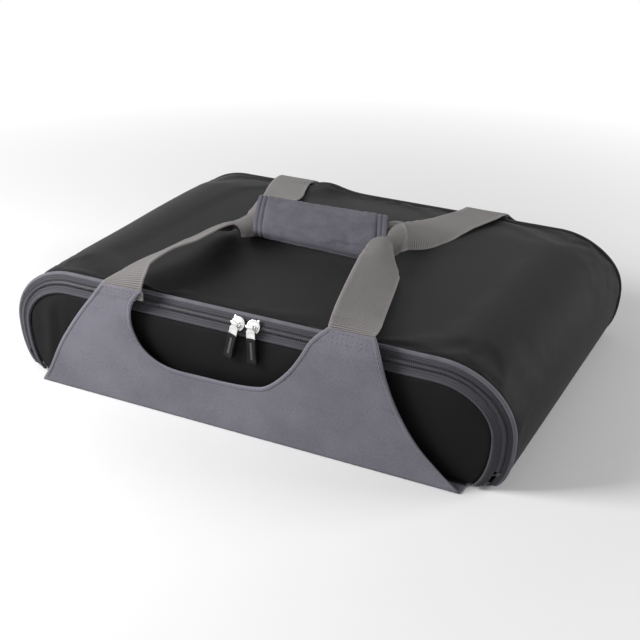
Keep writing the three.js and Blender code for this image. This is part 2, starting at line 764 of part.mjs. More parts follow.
// Ribbon of webbing through stations that give its middle line and the way its width points
function ribbon(stations) {
  const curve = new THREE.CatmullRomCurve3(stations.map((s) => s.centre), false, 'centripetal');
  const rings = [];
  const spans = stations.length - 1;
  for (let k = 0; k <= spans * strapSteps; k += 1) {
    const share = k / (spans * strapSteps);
    const from = Math.min(Math.floor(share * spans), spans - 1);
    const width = stations[from].width.clone().lerp(stations[from + 1].width, share * spans - from);
    const along = curve.getTangent(share);
    width.addScaledVector(along, -width.dot(along)).normalize();
    const out = new THREE.Vector3().crossVectors(along, width);
    const middle = curve.getPoint(share);
    const corner = (a, b) => middle.clone()
      .addScaledVector(width, a * webbingWidth / 2)
      .addScaledVector(out, b * webbingThickness / 2);
    rings.push([corner(-1, -1), corner(1, -1), corner(1, 1), corner(-1, 1)]);
  }
  return loftBody(rings);
}

// A whole handle: up from the left arm, through the wrap, and down to the right arm
function handleRibbon(side, leftX, rightX, leftRows, rightRows, lift) {
  const armY = side * slingArmPlane;
  const armZ = slingArmHeight + slingFootGap + clearance;
  const left = new THREE.Vector3(leftX, armY, armZ);
  const right = new THREE.Vector3(rightX, armY, armZ);
  const leftHalf = strapStations(leftRows, left, wrapMouth(-1, 0, lift));
  const rightHalf = strapStations(rightRows, right, wrapMouth(1, 0, lift)).reverse();
  const turn = leftHalf[leftHalf.length - 1].width;
  const flip = rightHalf[0].width.dot(turn) < 0 ? -1 : 1;
  rightHalf.forEach((s) => s.width.multiplyScalar(flip));
  const inside = [-1, 1].map((end) => ({ centre: wrapMouth(end, -strapLead, lift), width: turn }));
  return ribbon([...leftHalf, ...inside, ...rightHalf]);
}

// Grip wrap, in its own frame: X along it, Y across it from the front edge, Z out of the bag
function wrapProfile(points) {
  const outline = new THREE.Shape(points.map(([v, w]) => new THREE.Vector2(v, w)));
  const body = new THREE.ExtrudeGeometry(outline, { depth: wrapLength, bevelEnabled: false });
  body.rotateX(Math.PI / 2).rotateZ(Math.PI / 2);
  return body.translate(-wrapLength / 2, 0, -wrapMid);
}

function buildWrap(handle) {
  const inner = wrapHalf - wrapWall;
  const lowWall = clearance + webbingThickness;
  const tray = [
    [-wrapHalf, -wrapFloor], [wrapHalf, -wrapFloor], [wrapHalf, wrapInnerHeight - clearance],
    [inner, wrapInnerHeight - clearance], [inner, 0], [-inner, 0], [-inner, lowWall],
    [-wrapHalf, lowWall],
  ];
  const loopNear = -wrapHalf - clearance - closureThickness;
  const hookNear = loopNear - clearance - closureThickness;
  const lipIn = hookNear - clearance;
  const lipOut = lipIn - wrapWall;
  const closureLow = lowWall - closureHeight;
  const closure = (near) => [
    [near, closureLow], [near + closureThickness, closureLow],
    [near + closureThickness, lowWall], [near, lowWall],
  ];
  const top = wrapInnerHeight + wrapCover;
  const round = wrapCover / 2;
  const cover = [
    [wrapHalf, wrapInnerHeight], [wrapHalf, top - round], [wrapHalf - round, top],
    [lipOut + round, top], [lipOut, top - round], [lipOut, -wrapFloor], [lipIn, -wrapFloor],
    [lipIn, wrapInnerHeight],
  ];
  const wrap = new THREE.Group();
  wrap.position.set(wrapX, wrapY, wrapZ);
  wrap.rotation.x = radians(wrapTilt);
  addPiece('wrap_base', wrapProfile(tray), 'greyFabric', wrap);
  addPiece('wrap_loop_strip', wrapProfile(closure(loopNear)), 'hookLoop', wrap);
  addPiece('wrap_hook_strip', wrapProfile(closure(hookNear)), 'hookLoop', wrap);
  addPiece('wrap_cover', wrapProfile(cover), 'greyFabric', wrap);
  handle.add(wrap);
}

function buildHandles(front, rear) {
  const frontLoop = handleRibbon(
    -1,
    leftArmX,
    rightArmX,
    frontLeftStrapShares,
    frontRightStrapShares,
    frontWebbingLift,
  );
  addPiece('webbing_front', frontLoop, 'webbing', front);
  const rearLoop = handleRibbon(
    1,
    -rightArmX,
    -leftArmX,
    rearLeftStrapShares,
    rearRightStrapShares,
    rearWebbingLift,
  );
  addPiece('webbing_rear', rearLoop, 'webbing', rear);
  buildWrap(rear);
}

const frontPanel = new THREE.Group();
const frontSling = new THREE.Group();
const rearSling = new THREE.Group();
buildWalls();
buildRear();
buildZip(frontPanel);
buildPanel(frontPanel);
buildFoldTape();
buildSlider('left', leftSliderX, leftPullYaw, frontPanel);
buildSlider('right', rightSliderX, rightPullYaw, frontPanel);
buildSlings(frontSling, rearSling);
buildHandles(frontSling, rearSling);
carrier.add(frontPanel, frontSling, rearSling);

export default carrier;
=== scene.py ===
import math
import bpy
import bmesh
import numpy as np
from mathutils import Matrix, Vector, noise


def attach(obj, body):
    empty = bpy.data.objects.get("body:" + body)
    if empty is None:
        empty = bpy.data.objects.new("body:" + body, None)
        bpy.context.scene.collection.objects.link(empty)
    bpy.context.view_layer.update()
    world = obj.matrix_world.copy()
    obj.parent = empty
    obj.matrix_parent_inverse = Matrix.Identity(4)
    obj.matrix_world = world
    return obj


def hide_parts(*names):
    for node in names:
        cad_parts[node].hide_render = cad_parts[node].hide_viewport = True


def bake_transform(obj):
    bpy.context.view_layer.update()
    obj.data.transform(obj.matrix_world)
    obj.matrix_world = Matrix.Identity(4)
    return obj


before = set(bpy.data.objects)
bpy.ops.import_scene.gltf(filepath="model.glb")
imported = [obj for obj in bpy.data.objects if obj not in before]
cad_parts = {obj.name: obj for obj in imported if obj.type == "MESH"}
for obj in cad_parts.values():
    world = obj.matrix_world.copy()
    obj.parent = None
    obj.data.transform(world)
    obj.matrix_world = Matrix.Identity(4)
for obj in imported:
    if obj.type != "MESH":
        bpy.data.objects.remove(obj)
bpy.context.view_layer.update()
mm = 0.001
print("stage: frame loaded,", len(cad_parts), "nodes")

# where the photograph was taken from, in metres
viewPoint = {
    "eye": (0.4411, -0.8652, 0.5076),
    "target": (0.0, 0.0, 0.0482),
    "lens": 68.74,
    "sensor": 36.0,
    "shift": (-0.0106, -0.0315),
}


def addCamera(settings):
    data = bpy.data.cameras.new("camera")
    data.lens = settings["lens"]
    data.sensor_width = settings["sensor"]
    data.shift_x, data.shift_y = settings["shift"]
    camera = bpy.data.objects.new("camera", data)
    bpy.context.collection.objects.link(camera)
    camera.location = settings["eye"]
    look = Vector(settings["target"]) - Vector(settings["eye"])
    camera.rotation_euler = look.to_track_quat("-Z", "Y").to_euler()
    bpy.context.scene.camera = camera


addCamera(viewPoint)

# sizes of the carrier in millimetres and degrees, the same as in the CAD source
bag = {
    "length": 448, "height": 97, "widest": 44.4, "topCorner": 61, "bottomCorner": 18, "bottom": 1.5,
    "edgeLine": 142, "cordInset": 1.2, "bandInset": 13.8, "bandDrop": 6.6, "bandFoot": -72, "panelFoot": -75,
}
footX = bag["length"] / 2 - bag["bottomCorner"]
cornerX = bag["length"] / 2 - bag["topCorner"]
drop = bag["widest"] - bag["bottom"]
shoulderRise = bag["height"] - bag["widest"]


# the smallest face area in square metres, the merge distance in millimetres, and the uv sizes in
# metres of the narrow strips and the caps that close a free edge
meshLimits = {"flatFace": 1e-13, "merge": 0.01, "rimUv": 0.002, "capUv": 0.001}


def ripple(point, size, seed=0.0):
    # smooth noise from -1 to 1 at a place in millimetres
    return noise.noise(Vector((point[0] / size + seed, point[1] / size, point[2] / size)))


def ease(value):
    value = min(max(value, 0.0), 1.0)
    return value * value * (3 - 2 * value)


def makePiece(name, points, faces, uvs=None):
    # a mesh object from points in millimetres, its uv in metres for each face corner
    mesh = bpy.data.meshes.new(name)
    mesh.from_pydata([Vector(p) * mm for p in points], [], faces)
    if uvs is not None:
        layer = mesh.uv_layers.new(name="UVMap")
        flat = [value for face in uvs for corner in face for value in corner]
        layer.data.foreach_set("uv", flat)
    mesh.polygons.foreach_set("use_smooth", [True] * len(mesh.polygons))
    mesh.update()
    piece = bpy.data.objects.new(name, mesh)
    bpy.context.collection.objects.link(piece)
    return piece


def gridFaces(grid, closed, first=0, flip=False):
    # quads over rows and columns of points, with the cloth's own lengths as uv
    rows, cols = grid.shape[:2]
    ring = np.concatenate([grid, grid[:, :1]], axis=1) if closed else grid
    across = np.linalg.norm(np.diff(ring, axis=1), axis=2).max(0) * mm
    along = np.linalg.norm(np.diff(grid, axis=0), axis=2).max(1) * mm
    across = np.insert(np.cumsum(across), 0, 0)
    along = np.insert(np.cumsum(along), 0, 0)
    faces, uvs = [], []
    for r in range(rows - 1):
        for c in range(cols if closed else cols - 1):
            d = (c + 1) % cols
            face = [r * cols + c, r * cols + d, (r + 1) * cols + d, (r + 1) * cols + c]
            corners = [
                (across[c], along[r]), (across[c + 1], along[r]),
                (across[c + 1], along[r + 1]), (across[c], along[r + 1]),
            ]
            if flip:
                face.reverse()
                corners.reverse()
            faces.append([first + i for i in face])
            uvs.append(corners)
    return faces, uvs


def tidyMesh(piece, merge=0.0):
    # doubles go first, then every face is turned outwards
    work = bmesh.new()
    work.from_mesh(piece.data)
    if merge:
        bmesh.ops.remove_doubles(work, verts=work.verts, dist=merge * mm)
        flat = [f for f in work.faces if f.calc_area() < meshLimits["flatFace"]]
        bmesh.ops.delete(work, geom=flat, context="FACES_ONLY")
    bmesh.ops.recalc_face_normals(work, faces=work.faces)
    work.to_mesh(piece.data)
    work.free()
    piece.data.update()
    return piece


def loftPiece(name, grid):
    # a body through rows of rings, such as a cord, a binding or a strap
    grid = np.asarray(grid, float)
    rows, cols = grid.shape[:2]
    faces, uvs = gridFaces(grid, True)
    wide = meshLimits["capUv"]
    corners = [(wide * math.cos(i), wide * math.sin(i)) for i in range(cols)]
    for first in (0, (rows - 1) * cols):
        faces.append([first + i for i in range(cols)])
        uvs.append(corners)
    piece = makePiece(name, grid.reshape(-1, 3), faces, uvs)
    return tidyMesh(piece)


def twoSkins(name, outer, inner, closed, joinLast=True, merge=0.0):
    # a padded wall or a sheet: an outer and an inner skin, joined round their free edges
    outer = np.asarray(outer, float)
    inner = np.asarray(inner, float)
    cols = outer.shape[1]
    count = outer.shape[0] * cols
    faces, uvs = gridFaces(outer, closed)
    innerFaces, innerUvs = gridFaces(inner, closed, first=count, flip=True)
    faces += innerFaces
    uvs += innerUvs
    last = (outer.shape[0] - 1) * cols
    lastInner = count + (inner.shape[0] - 1) * cols
    wide = meshLimits["rimUv"]
    for a, b in [(0, count)] + ([(last, lastInner)] if joinLast else []):
        for c in range(cols if closed else cols - 1):
            d = (c + 1) % cols
            faces.append([a + c, b + c, b + d, a + d])
            near, far = c * wide, (c + 1) * wide
            uvs.append([(near, 0), (near, wide), (far, wide), (far, 0)])
    if not closed:
        for c in (0, cols - 1):
            for r in range(outer.shape[0] - 1):
                a, b = r * cols + c, (r + 1) * cols + c
                faces.append([a, b, count + b, count + a])
                near, far = r * wide, (r + 1) * wide
                uvs.append([(0, near), (0, far), (wide, far), (wide, near)])
    points = np.concatenate([outer.reshape(-1, 3), inner.reshape(-1, 3)])
    piece = makePiece(name, points, faces, uvs)
    return tidyMesh(piece, merge)


def layUvFlat(piece):
    # the cloth's own lengths as seen from the front, for a piece that hangs flat
    for loop in piece.data.loops:
        spot = piece.data.vertices[loop.vertex_index].co
        piece.data.uv_layers[0].data[loop.index].uv = (spot.x, spot.z)


def paintEdge(piece, values):
    # a share from 0 to 1 at each point, which the finish reads as wear or selvage
    attribute = piece.data.attributes.new("edge", "FLOAT", "POINT")
    attribute.data.foreach_set("value", values)


def selectNone():
    bpy.ops.object.select_all(action="DESELECT")


def makeActive(piece):
    selectNone()
    bpy.context.view_layer.objects.active = piece
    piece.select_set(True)


def applyModifier(piece, kind, settings):
    makeActive(piece)
    modifier = piece.modifiers.new(kind.title(), kind)
    for key, value in settings.items():
        setattr(modifier, key, value)
    bpy.ops.object.modifier_apply(modifier=modifier.name)
    piece.select_set(False)
    return piece


# what every piece of loose cloth has in common
looseCloth = {"quality": 6, "mass": 0.25, "air_damping": 2.0}


def settleCloth(grid, closed, pinned, settings):
    # the outer fabric as loose cloth over its foam, sewn down where it is pinned: it puffs for a few
    # frames, and no point may move further than the cap
    faces = gridFaces(grid, closed)[0]
    cloth = makePiece("settling", grid.reshape(-1, 3), faces)
    group = cloth.vertex_groups.new(name="seam")
    group.add([int(i) for i in np.flatnonzero(pinned.ravel())], 1.0, "REPLACE")
    modifier = cloth.modifiers.new("Cloth", "CLOTH")
    fabric = modifier.settings
    for key, value in looseCloth.items():
        setattr(fabric, key, value)
    fabric.tension_stiffness = settings["stiffness"]
    fabric.compression_stiffness = settings["stiffness"]
    fabric.shear_stiffness = settings["stiffness"] * 0.5
    fabric.bending_stiffness = settings["bending"]
    fabric.shrink_min = -settings["slack"]
    fabric.vertex_group_mass = "seam"
    fabric.use_pressure = True
    fabric.uniform_pressure_force = settings["pressure"]
    fabric.effector_weights.gravity = 0
    modifier.point_cache.frame_start = 1
    modifier.point_cache.frame_end = settings["frames"]
    scene = bpy.context.scene
    for step in range(1, settings["frames"] + 1):
        scene.frame_set(step)
    makeActive(cloth)
    bpy.ops.object.modifier_apply(modifier=modifier.name)
    places = np.zeros(len(cloth.data.vertices) * 3)
    cloth.data.vertices.foreach_get("co", places)
    move = places.reshape(grid.shape) / mm - grid
    reach = np.linalg.norm(move, axis=2, keepdims=True)
    move *= np.minimum(1, settings["cap"] / np.maximum(reach, 1e-9))
    bpy.data.objects.remove(cloth)
    scene.frame_set(1)
    return grid + move


# colour and surface of the finishes: shader maths is written as plain sums on wires
class Wire:
    def __init__(self, shader, socket):
        self.shader = shader
        self.socket = socket

    def __add__(self, other):
        return self.shader.maths("ADD", self, other)

    def __sub__(self, other):
        return self.shader.maths("SUBTRACT", self, other)

    def __mul__(self, other):
        return self.shader.maths("MULTIPLY", self, other)

    def __truediv__(self, other):
        return self.shader.maths("DIVIDE", self, other)

    def __pow__(self, other):
        return self.shader.maths("POWER", self, other)


class Shader:
    def __init__(self, tree):
        self.tree = tree
        tree.nodes.clear()

    def node(self, kind, settings=None, inputs=None, output=0):
        # settings first, such as an operation, then the sockets' values or wires
        made = self.tree.nodes.new(kind)
        for key, value in (settings or {}).items():
            setattr(made, key, value)
        for key, value in (inputs or {}).items():
            if isinstance(value, Wire):
                self.tree.links.new(value.socket, made.inputs[key])
            else:
                made.inputs[key].default_value = value
        return Wire(self, made.outputs[output]) if len(made.outputs) else None

    def maths(self, operation, *values):
        return self.node("ShaderNodeMath", {"operation": operation}, dict(enumerate(values)))

    def wave(self, value, pitch):
        # a sine from 0 to 1 once in every pitch
        return self.maths("SINE", value * (2 * math.pi / pitch)) * 0.5 + 0.5

    def arches(self, value, pitch):
        # rounded ridges from 0 to 1, with a sharp groove once in every pitch
        return self.maths("ABSOLUTE", self.maths("SINE", value * (math.pi / pitch)))

    def grain(self, place, scale, detail, roughness):
        inputs = {"Vector": place, "Scale": scale, "Detail": detail, "Roughness": roughness}
        return self.node("ShaderNodeTexNoise", {}, inputs)

    def between(self, share, low, high):
        inputs = {0: share, 6: low, 7: high}
        return self.node("ShaderNodeMix", {"data_type": "RGBA", "clamp_factor": True}, inputs, 2)

    def clothUv(self):
        uv = self.node("ShaderNodeUVMap", {"uv_map": "UVMap"})
        split = self.node("ShaderNodeSeparateXYZ", {}, {0: uv})
        along = Wire(self, split.socket.node.outputs[1])
        return split, along

    def objectPlace(self):
        return self.node("ShaderNodeTexCoord", {}, {}, "Object")

    def relief(self, height, distance, strength):
        inputs = {"Height": height, "Distance": distance, "Strength": strength}
        return self.node("ShaderNodeBump", {}, inputs)


def finishShader(shader, sockets):
    surface = shader.node("ShaderNodeBsdfPrincipled", {}, sockets)
    shader.node("ShaderNodeOutputMaterial", {}, {"Surface": surface})


def newShader(name):
    material = bpy.data.materials.new(name)
    material.use_nodes = True
    return material, Shader(material.node_tree)


def shade(colour, factor):
    return (colour[0] * factor, colour[1] * factor, colour[2] * factor, 1.0)


def wovenFinish(name, look):
    # plain woven polyester: crossing yarns, flecks of lighter yarn, soft blotches, a paler worn edge
    material, shader = newShader(name)
    across, along = shader.clothUv()
    place = shader.objectPlace()
    yarns = shader.wave(across, look["pitch"]) * shader.wave(along, look["pitch"])
    fleck = shader.grain(place, look["fleck"], 2.0, 0.6)
    blotch = shader.grain(place, look["blotch"], 3.0, 0.55)
    worn = shader.node("ShaderNodeAttribute", {"attribute_name": "edge"}, {}, "Fac")
    tone = yarns * 0.3 + fleck * 0.75 + blotch * 0.6 - 0.35
    tone = shader.node("ShaderNodeClamp", {}, {0: tone})
    dark, light = (shade(look["colour"], 1 + side * look["spread"]) for side in (-1, 1))
    colour = shader.between(tone, dark, light)
    wear = worn * (fleck * 0.6 + 0.4)
    colour = shader.between(wear * look["wear"], colour, shade(look["colour"], look["wornTone"]))
    rough = fleck * 0.16 + (look["roughness"] - 0.08)
    height = yarns * 0.55 + fleck * 0.35 + blotch * look["slub"]
    finishShader(shader, {
        "Base Color": colour,
        "Roughness": rough,
        "Normal": shader.relief(height, look["depth"], 0.85),
        "Sheen Weight": look["sheen"],
        "Sheen Roughness": 0.45,
        "Sheen Tint": shade(look["sheenTint"], 1),
        "Specular IOR Level": look["specular"],
    })
    return material


def webbingFinish(name, look):
    # ribs across the strap, each rib of short yarns, with flatter selvage edges; the grooves between the
    # ribs are darkened in colour as painted shade
    material, shader = newShader(name)
    across, along = shader.clothUv()
    place = shader.objectPlace()
    rib = shader.arches(along, look["rib"])
    yarn = shader.wave(across, look["yarn"])
    fleck = shader.grain(place, look["fleck"], 2.0, 0.6)
    blotch = shader.grain(place, look["blotch"], 3.0, 0.5)
    groove = rib ** 0.9
    selvage = shader.node("ShaderNodeAttribute", {"attribute_name": "edge"}, {}, "Fac")
    # painted shade: the colour is darkest in the grooves between the ribs and palest on their tops, with
    # flecks and blotches of the yarn's own colour
    tone = groove * 1.15 + fleck * 0.4 + blotch * 0.4 - 0.52 + yarn * 0.1
    tone = shader.node("ShaderNodeClamp", {}, {0: tone})
    colour = shader.between(tone, shade(look["colour"], 0.42), shade(look["colour"], 1.25))
    colour = shader.between(selvage * 0.75, colour, shade(look["colour"], 1.45))
    height = groove * 0.8 + yarn * 0.12 + fleck * 0.1
    finishShader(shader, {
        "Base Color": colour,
        "Roughness": fleck * 0.2 + 0.68,
        "Normal": shader.relief(height, look["depth"], 0.9),
        "Sheen Weight": 0.08,
        "Sheen Roughness": 0.5,
        "Specular IOR Level": 0.15,
    })
    return material


def foilFinish(name, look):
    # crinkled aluminised film, welded to its foam in a diamond grid
    material, shader = newShader(name)
    across, along = shader.clothUv()
    place = shader.objectPlace()
    first = shader.arches(across + along, look["quilt"])
    second = shader.arches(across - along, look["quilt"])
    puff = shader.maths("MINIMUM", first, second) ** 0.35
    crinkle = shader.grain(place, look["crinkle"], 4.0, 0.65)
    cloud = shader.grain(place, look["cloud"], 2.0, 0.5)
    mottle = cloud * 0.6 + crinkle * 0.4
    colour = shader.between(mottle, shade(look["colour"], 0.82), shade(look["colour"], 1.08))
    finishShader(shader, {
        "Base Color": colour,
        "Metallic": cloud * 0.2 + 0.62,
        "Roughness": crinkle * 0.25 + 0.24,
        "Normal": shader.relief(puff * 0.8 + crinkle * 0.4, look["depth"], 0.8),
    })
    return material


def metalFinish(name, look):
    # plated zinc with a fine brushed grain and rubbed duller spots
    material, shader = newShader(name)
    place = shader.objectPlace()
    stretched = shader.node("ShaderNodeMapping", {}, {"Vector": place, "Scale": (1.0, 0.2, 0.2)})
    brushed = shader.grain(stretched, look["brush"], 2.0, 0.5)
    rubbed = shader.grain(place, look["rub"], 3.0, 0.6)
    colour = shader.between(rubbed, shade(look["colour"], 0.86), shade(look["colour"], 1.05))
    finishShader(shader, {
        "Base Color": colour,
        "Metallic": 1.0,
        "Roughness": rubbed * 0.22 + brushed * 0.06 + look["roughness"],
        "Normal": shader.relief(brushed * 0.5 + rubbed * 0.5, look["depth"], 0.5),
    })
    return material


def mouldedFinish(name, look):
    # moulded rubber or nylon: pebbled skin, scuffed a little paler on the high spots
    material, shader = newShader(name)
    place = shader.objectPlace()
    pebble = shader.grain(place, look["pebble"], 2.0, 0.5)
    scuff = shader.grain(place, look["pebble"] * 0.2, 4.0, 0.7)
    colour = shader.between(scuff, shade(look["colour"], 0.8), shade(look["colour"], 1.35))
    finishShader(shader, {
        "Base Color": colour,
        "Roughness": scuff * 0.2 + look["roughness"],
        "Normal": shader.relief(pebble, look["depth"], 0.6),
        "Specular IOR Level": look["specular"],
    })
    return material


def fuzzFinish(name, look):
    # hook and loop tape: a dense pile in rows
    material, shader = newShader(name)
    across, along = shader.clothUv()
    place = shader.objectPlace()
    pile = shader.grain(place, look["pile"], 3.0, 0.7)
    rows = shader.wave(across, look["pitch"]) * shader.wave(along, look["pitch"])
    colour = shader.between(pile * 0.7 + rows * 0.3, shade(look["colour"], 0.5), shade(look["colour"], 1.6))
    finishShader(shader, {
        "Base Color": colour,
        "Roughness": pile * 0.1 + 0.88,
        "Normal": shader.relief(pile * 0.6 + rows * 0.5, look["depth"], 1.0),
        "Sheen Weight": 0.4,
    })
    return material


# what the woven finishes have in common, and then what each has of its own; pitch and depth in metres
plainWeave = {
    "spread": 0.3, "pitch": 0.0005, "fleck": 1400.0, "blotch": 30.0, "wear": 0.5, "wornTone": 1.7,
    "roughness": 0.62, "slub": 0.2, "depth": 0.0001, "sheen": 0.08, "sheenTint": (0.95, 0.95, 1.0),
    "specular": 0.2,
}
slingWeave = {
    **plainWeave, "pitch": 0.00062, "fleck": 1200.0, "roughness": 0.72, "specular": 0.15,
}
blackFabric = wovenFinish("black polyester", {
    **plainWeave, "colour": (0.0105, 0.0105, 0.0113), "pitch": 0.00056, "fleck": 1500.0, "blotch": 16.0,
    "wear": 0.3, "wornTone": 2.2, "roughness": 0.52, "slub": 0.4, "depth": 0.00012, "sheen": 0.015,
    "sheenTint": (0.9, 0.9, 1.0), "specular": 0.09,
})
greyFabric = wovenFinish("grey polyester", {
    **slingWeave, "colour": (0.218, 0.210, 0.248), "spread": 0.5, "blotch": 22.0,
    "wear": 0.35, "wornTone": 1.3, "slub": 0.35, "depth": 0.00012,
})
wrapFabric = wovenFinish("grip wrap polyester", {
    **slingWeave, "colour": (0.133, 0.128, 0.153), "spread": 0.55, "blotch": 60.0,
    "wear": 0.6, "wornTone": 1.5, "slub": 0.5, "depth": 0.00016,
})
bindingFabric = wovenFinish("grey binding", {
    **plainWeave, "colour": (0.125, 0.123, 0.143), "spread": 0.28, "wear": 0.7, "sheen": 0.1,
})
flangeFabric = wovenFinish("grey flange", {
    **plainWeave, "colour": (0.070, 0.069, 0.081), "wear": 0.4, "roughness": 0.66,
})
tapeFabric = wovenFinish("zip tape", {
    **plainWeave, "colour": (0.060, 0.059, 0.069), "pitch": 0.0009, "blotch": 40.0, "wornTone": 1.8,
    "roughness": 0.7, "depth": 0.00014, "sheenTint": (1.0, 1.0, 1.0),
})
blackBinding = wovenFinish("black binding", {
    **plainWeave, "colour": (0.013, 0.013, 0.015), "pitch": 0.0006, "wornTone": 2.0, "depth": 0.00012,
    "sheen": 0.05, "sheenTint": (1.0, 1.0, 1.0),
})
strapWebbing = webbingFinish("ribbed webbing", {
    "colour": (0.212, 0.200, 0.198), "rib": 0.0021, "yarn": 0.0011, "fleck": 1500.0, "blotch": 26.0,
    "depth": 0.0005,
})
foilLining = foilFinish("foil lining", {
    "colour": (0.62, 0.63, 0.64), "quilt": 0.038, "crinkle": 180.0, "cloud": 14.0, "depth": 0.0009,
})
nickel = metalFinish("nickel plate", {
    "colour": (0.78, 0.78, 0.77), "roughness": 0.14, "brush": 2600.0, "rub": 420.0, "depth": 0.00003,
})
coilNylon = mouldedFinish("zip coil nylon", {
    "colour": (0.060, 0.059, 0.068), "pebble": 3000.0, "roughness": 0.34, "depth": 0.00004, "specular": 0.5,
})
gripRubber = mouldedFinish("pull rubber", {
    "colour": (0.006, 0.006, 0.0066), "pebble": 2400.0, "roughness": 0.42, "depth": 0.00005,
    "specular": 0.22,
})
stripeRubber = mouldedFinish("pull stripe", {
    "colour": (0.085, 0.085, 0.088), "pebble": 2400.0, "roughness": 0.5, "depth": 0.00004, "specular": 0.4,
})
boardPlastic = mouldedFinish("base board", {
    "colour": (0.20, 0.20, 0.19), "pebble": 500.0, "roughness": 0.6, "depth": 0.0001, "specular": 0.35,
})
hookLoop = fuzzFinish("hook and loop", {
    "colour": (0.018, 0.018, 0.021), "pile": 2200.0, "pitch": 0.0014, "depth": 0.0004,
})
thread = mouldedFinish("sewing thread", {
    "colour": (0.20, 0.195, 0.22), "pebble": 3500.0, "roughness": 0.6, "depth": 0.00005, "specular": 0.3,
})
print("stage: finishes made")


def finishPiece(piece, material, body=None, replaced=(), angle=None):
    # one finish, one slot, one body and the CAD nodes that the piece stands for
    piece.data.materials.clear()
    piece.data.materials.append(material)
    if angle:
        makeActive(piece)
        bpy.ops.object.shade_smooth_by_angle(angle=math.radians(angle))
        piece.select_set(False)
    if body:
        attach(piece, body)
    if replaced:
        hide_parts(*replaced)
    return piece


def sectionLoop(inset, steps, footRise=None, footDraw=0.0, footAngle=-90.0):
    # the bag's outline from the front, from the middle of the base up the right side and back down the left
    base, foot, corner, top = steps
    rise = inset if footRise is None else footRise
    reach = bag["bottomCorner"] - (0 if footDraw else inset)
    centre = footX - footDraw
    start = math.radians(footAngle)
    points = []
    firstX = centre + reach * math.cos(start)
    firstZ = bag["widest"] + (drop - rise) * math.sin(start)
    for i in range(base):
        points.append((firstX * i / base, firstZ))
    for i in range(foot + 1):
        a = start * (1 - i / foot)
        points.append((centre + reach * math.cos(a), bag["widest"] + (drop - rise) * math.sin(a)))
    for i in range(1, corner + 1):
        a = math.pi / 2 * i / corner
        x = cornerX + (bag["topCorner"] - inset) * math.cos(a)
        points.append((x, bag["widest"] + (shoulderRise - inset) * math.sin(a)))
    for i in range(1, top + 1):
        points.append((cornerX * (1 - i / top), bag["height"] - inset))
    left = [(-x, z) for x, z in points[-2:0:-1]]
    return np.array(points + left)


def sideNormals(way):
    # unit normals to the right of each step of a flat line
    out = np.stack([way[:, 1], -way[:, 0]], axis=1)
    return out / np.linalg.norm(out, axis=1, keepdims=True)


def edgeRows(half, edge, start, count):
    # places from one end of a length to the other, close together at both ends
    middle = list(np.linspace(-half + start, half - start, count))
    return np.array([-half + e for e in edge] + middle + [half - e for e in reversed(edge)])


def peak(value, middle, width):
    # a smooth bump that is 1 at its middle
    return math.exp(-((value - middle) / width) ** 2)


# each ramp is where it starts and how far it takes to reach 1
rearEdge = {
    "sag": 3.0, "hump": 5.5, "humpX": -70, "humpWidth": 20,
    "upRamp": (55, 35), "sagRamp": (90, 50), "humpRamp": (104, 34),
}


def ramp(value, span):
    return ease((value - span[0]) / span[1])


def sagRearEdge(piece, hump=1.0):
    # the top sags towards the rear seam, and the fabric stands up in one bump beside the left strap
    for vertex in piece.data.vertices:
        x, y, z = vertex.co / mm
        move = -rearEdge["sag"] * ramp(y, rearEdge["sagRamp"])
        bump = peak(x, rearEdge["humpX"], rearEdge["humpWidth"])
        move += hump * rearEdge["hump"] * bump * ramp(y, rearEdge["humpRamp"])
        vertex.co.z += move * ramp(z, rearEdge["upRamp"]) * mm
    piece.data.update()


wall = {
    "steps": (24, 14, 28, 26), "half": 140.9, "foam": 6.4, "baseFoam": 4.2, "step": 5.0,
    "edgeRows": (0, 0.6, 1.3, 2.2, 3.4, 5, 7.2, 10, 13.5), "edgeReach": 18, "innerHalf": 139.6,
    "tuck": 2.3, "tuckReach": 1.5, "seamDip": 0.45, "dipReach": 8, "crown": 0.55, "crownReach": 16,
    "ripple": 0.4, "rippleSize": 75, "rippleReach": 12, "freeRamp": (14, 18), "sewn": 3, "baseLevel": 12,
    "cloth": {"pressure": 1.0, "slack": 0.006, "stiffness": 15, "bending": 0.5, "frames": 10, "cap": 0.8},
}


def tubeGrid(loop, rows):
    # the same outline at each place along the depth
    return np.array([[(x, y, z) for x, z in loop] for y in rows])


def buildWall(settings):
    # shell, foam and base fabric as one padded tube, tucked in at the seams of both ends
    half = settings["half"]
    loop = sectionLoop(0, settings["steps"])
    normals = sideNormals(np.roll(loop, -1, 0) - np.roll(loop, 1, 0))
    count = int(round(2 * (half - settings["edgeReach"]) / settings["step"])) + 1
    rows = edgeRows(half, settings["edgeRows"], settings["edgeReach"], count)
    free = np.array([ramp(z, settings["freeRamp"]) for x, z in loop])
    outer = np.zeros((len(rows), len(loop), 3))
    for r, y in enumerate(rows):
        d = half - abs(y)
        pull = settings["tuck"] * math.exp(-d / settings["tuckReach"])
        pull += settings["seamDip"] * math.exp(-d / settings["dipReach"])
        crown = settings["crown"] * (1 - math.exp(-d / settings["crownReach"]))
        loose = settings["ripple"] * min(1, d / settings["rippleReach"])
        for c, (x, z) in enumerate(loop):
            move = (crown + loose * ripple((x, y, z), settings["rippleSize"])) * free[c] - pull
            outer[r, c] = (x + normals[c, 0] * move, y, z + normals[c, 1] * move)
    pinned = ((half - np.abs(rows)) < settings["sewn"])[:, None] | (free[None, :] < 0.02)
    outer = settleCloth(outer, True, pinned, settings["cloth"])
    innerLoop = sectionLoop(settings["foam"], settings["steps"])
    flat = (np.abs(innerLoop[:, 0]) < footX - 1) & (innerLoop[:, 1] < settings["baseLevel"])
    innerLoop[flat, 1] = bag["bottom"] + settings["baseFoam"]
    inner = tubeGrid(innerLoop, rows * settings["innerHalf"] / half)
    piece = twoSkins("bagWall", outer, inner, True)
    sagRearEdge(piece)
    nodes = ("shell_outer", "shell_foam", "base_outer", "base_foam")
    finishPiece(piece, blackFabric, "bag", nodes)


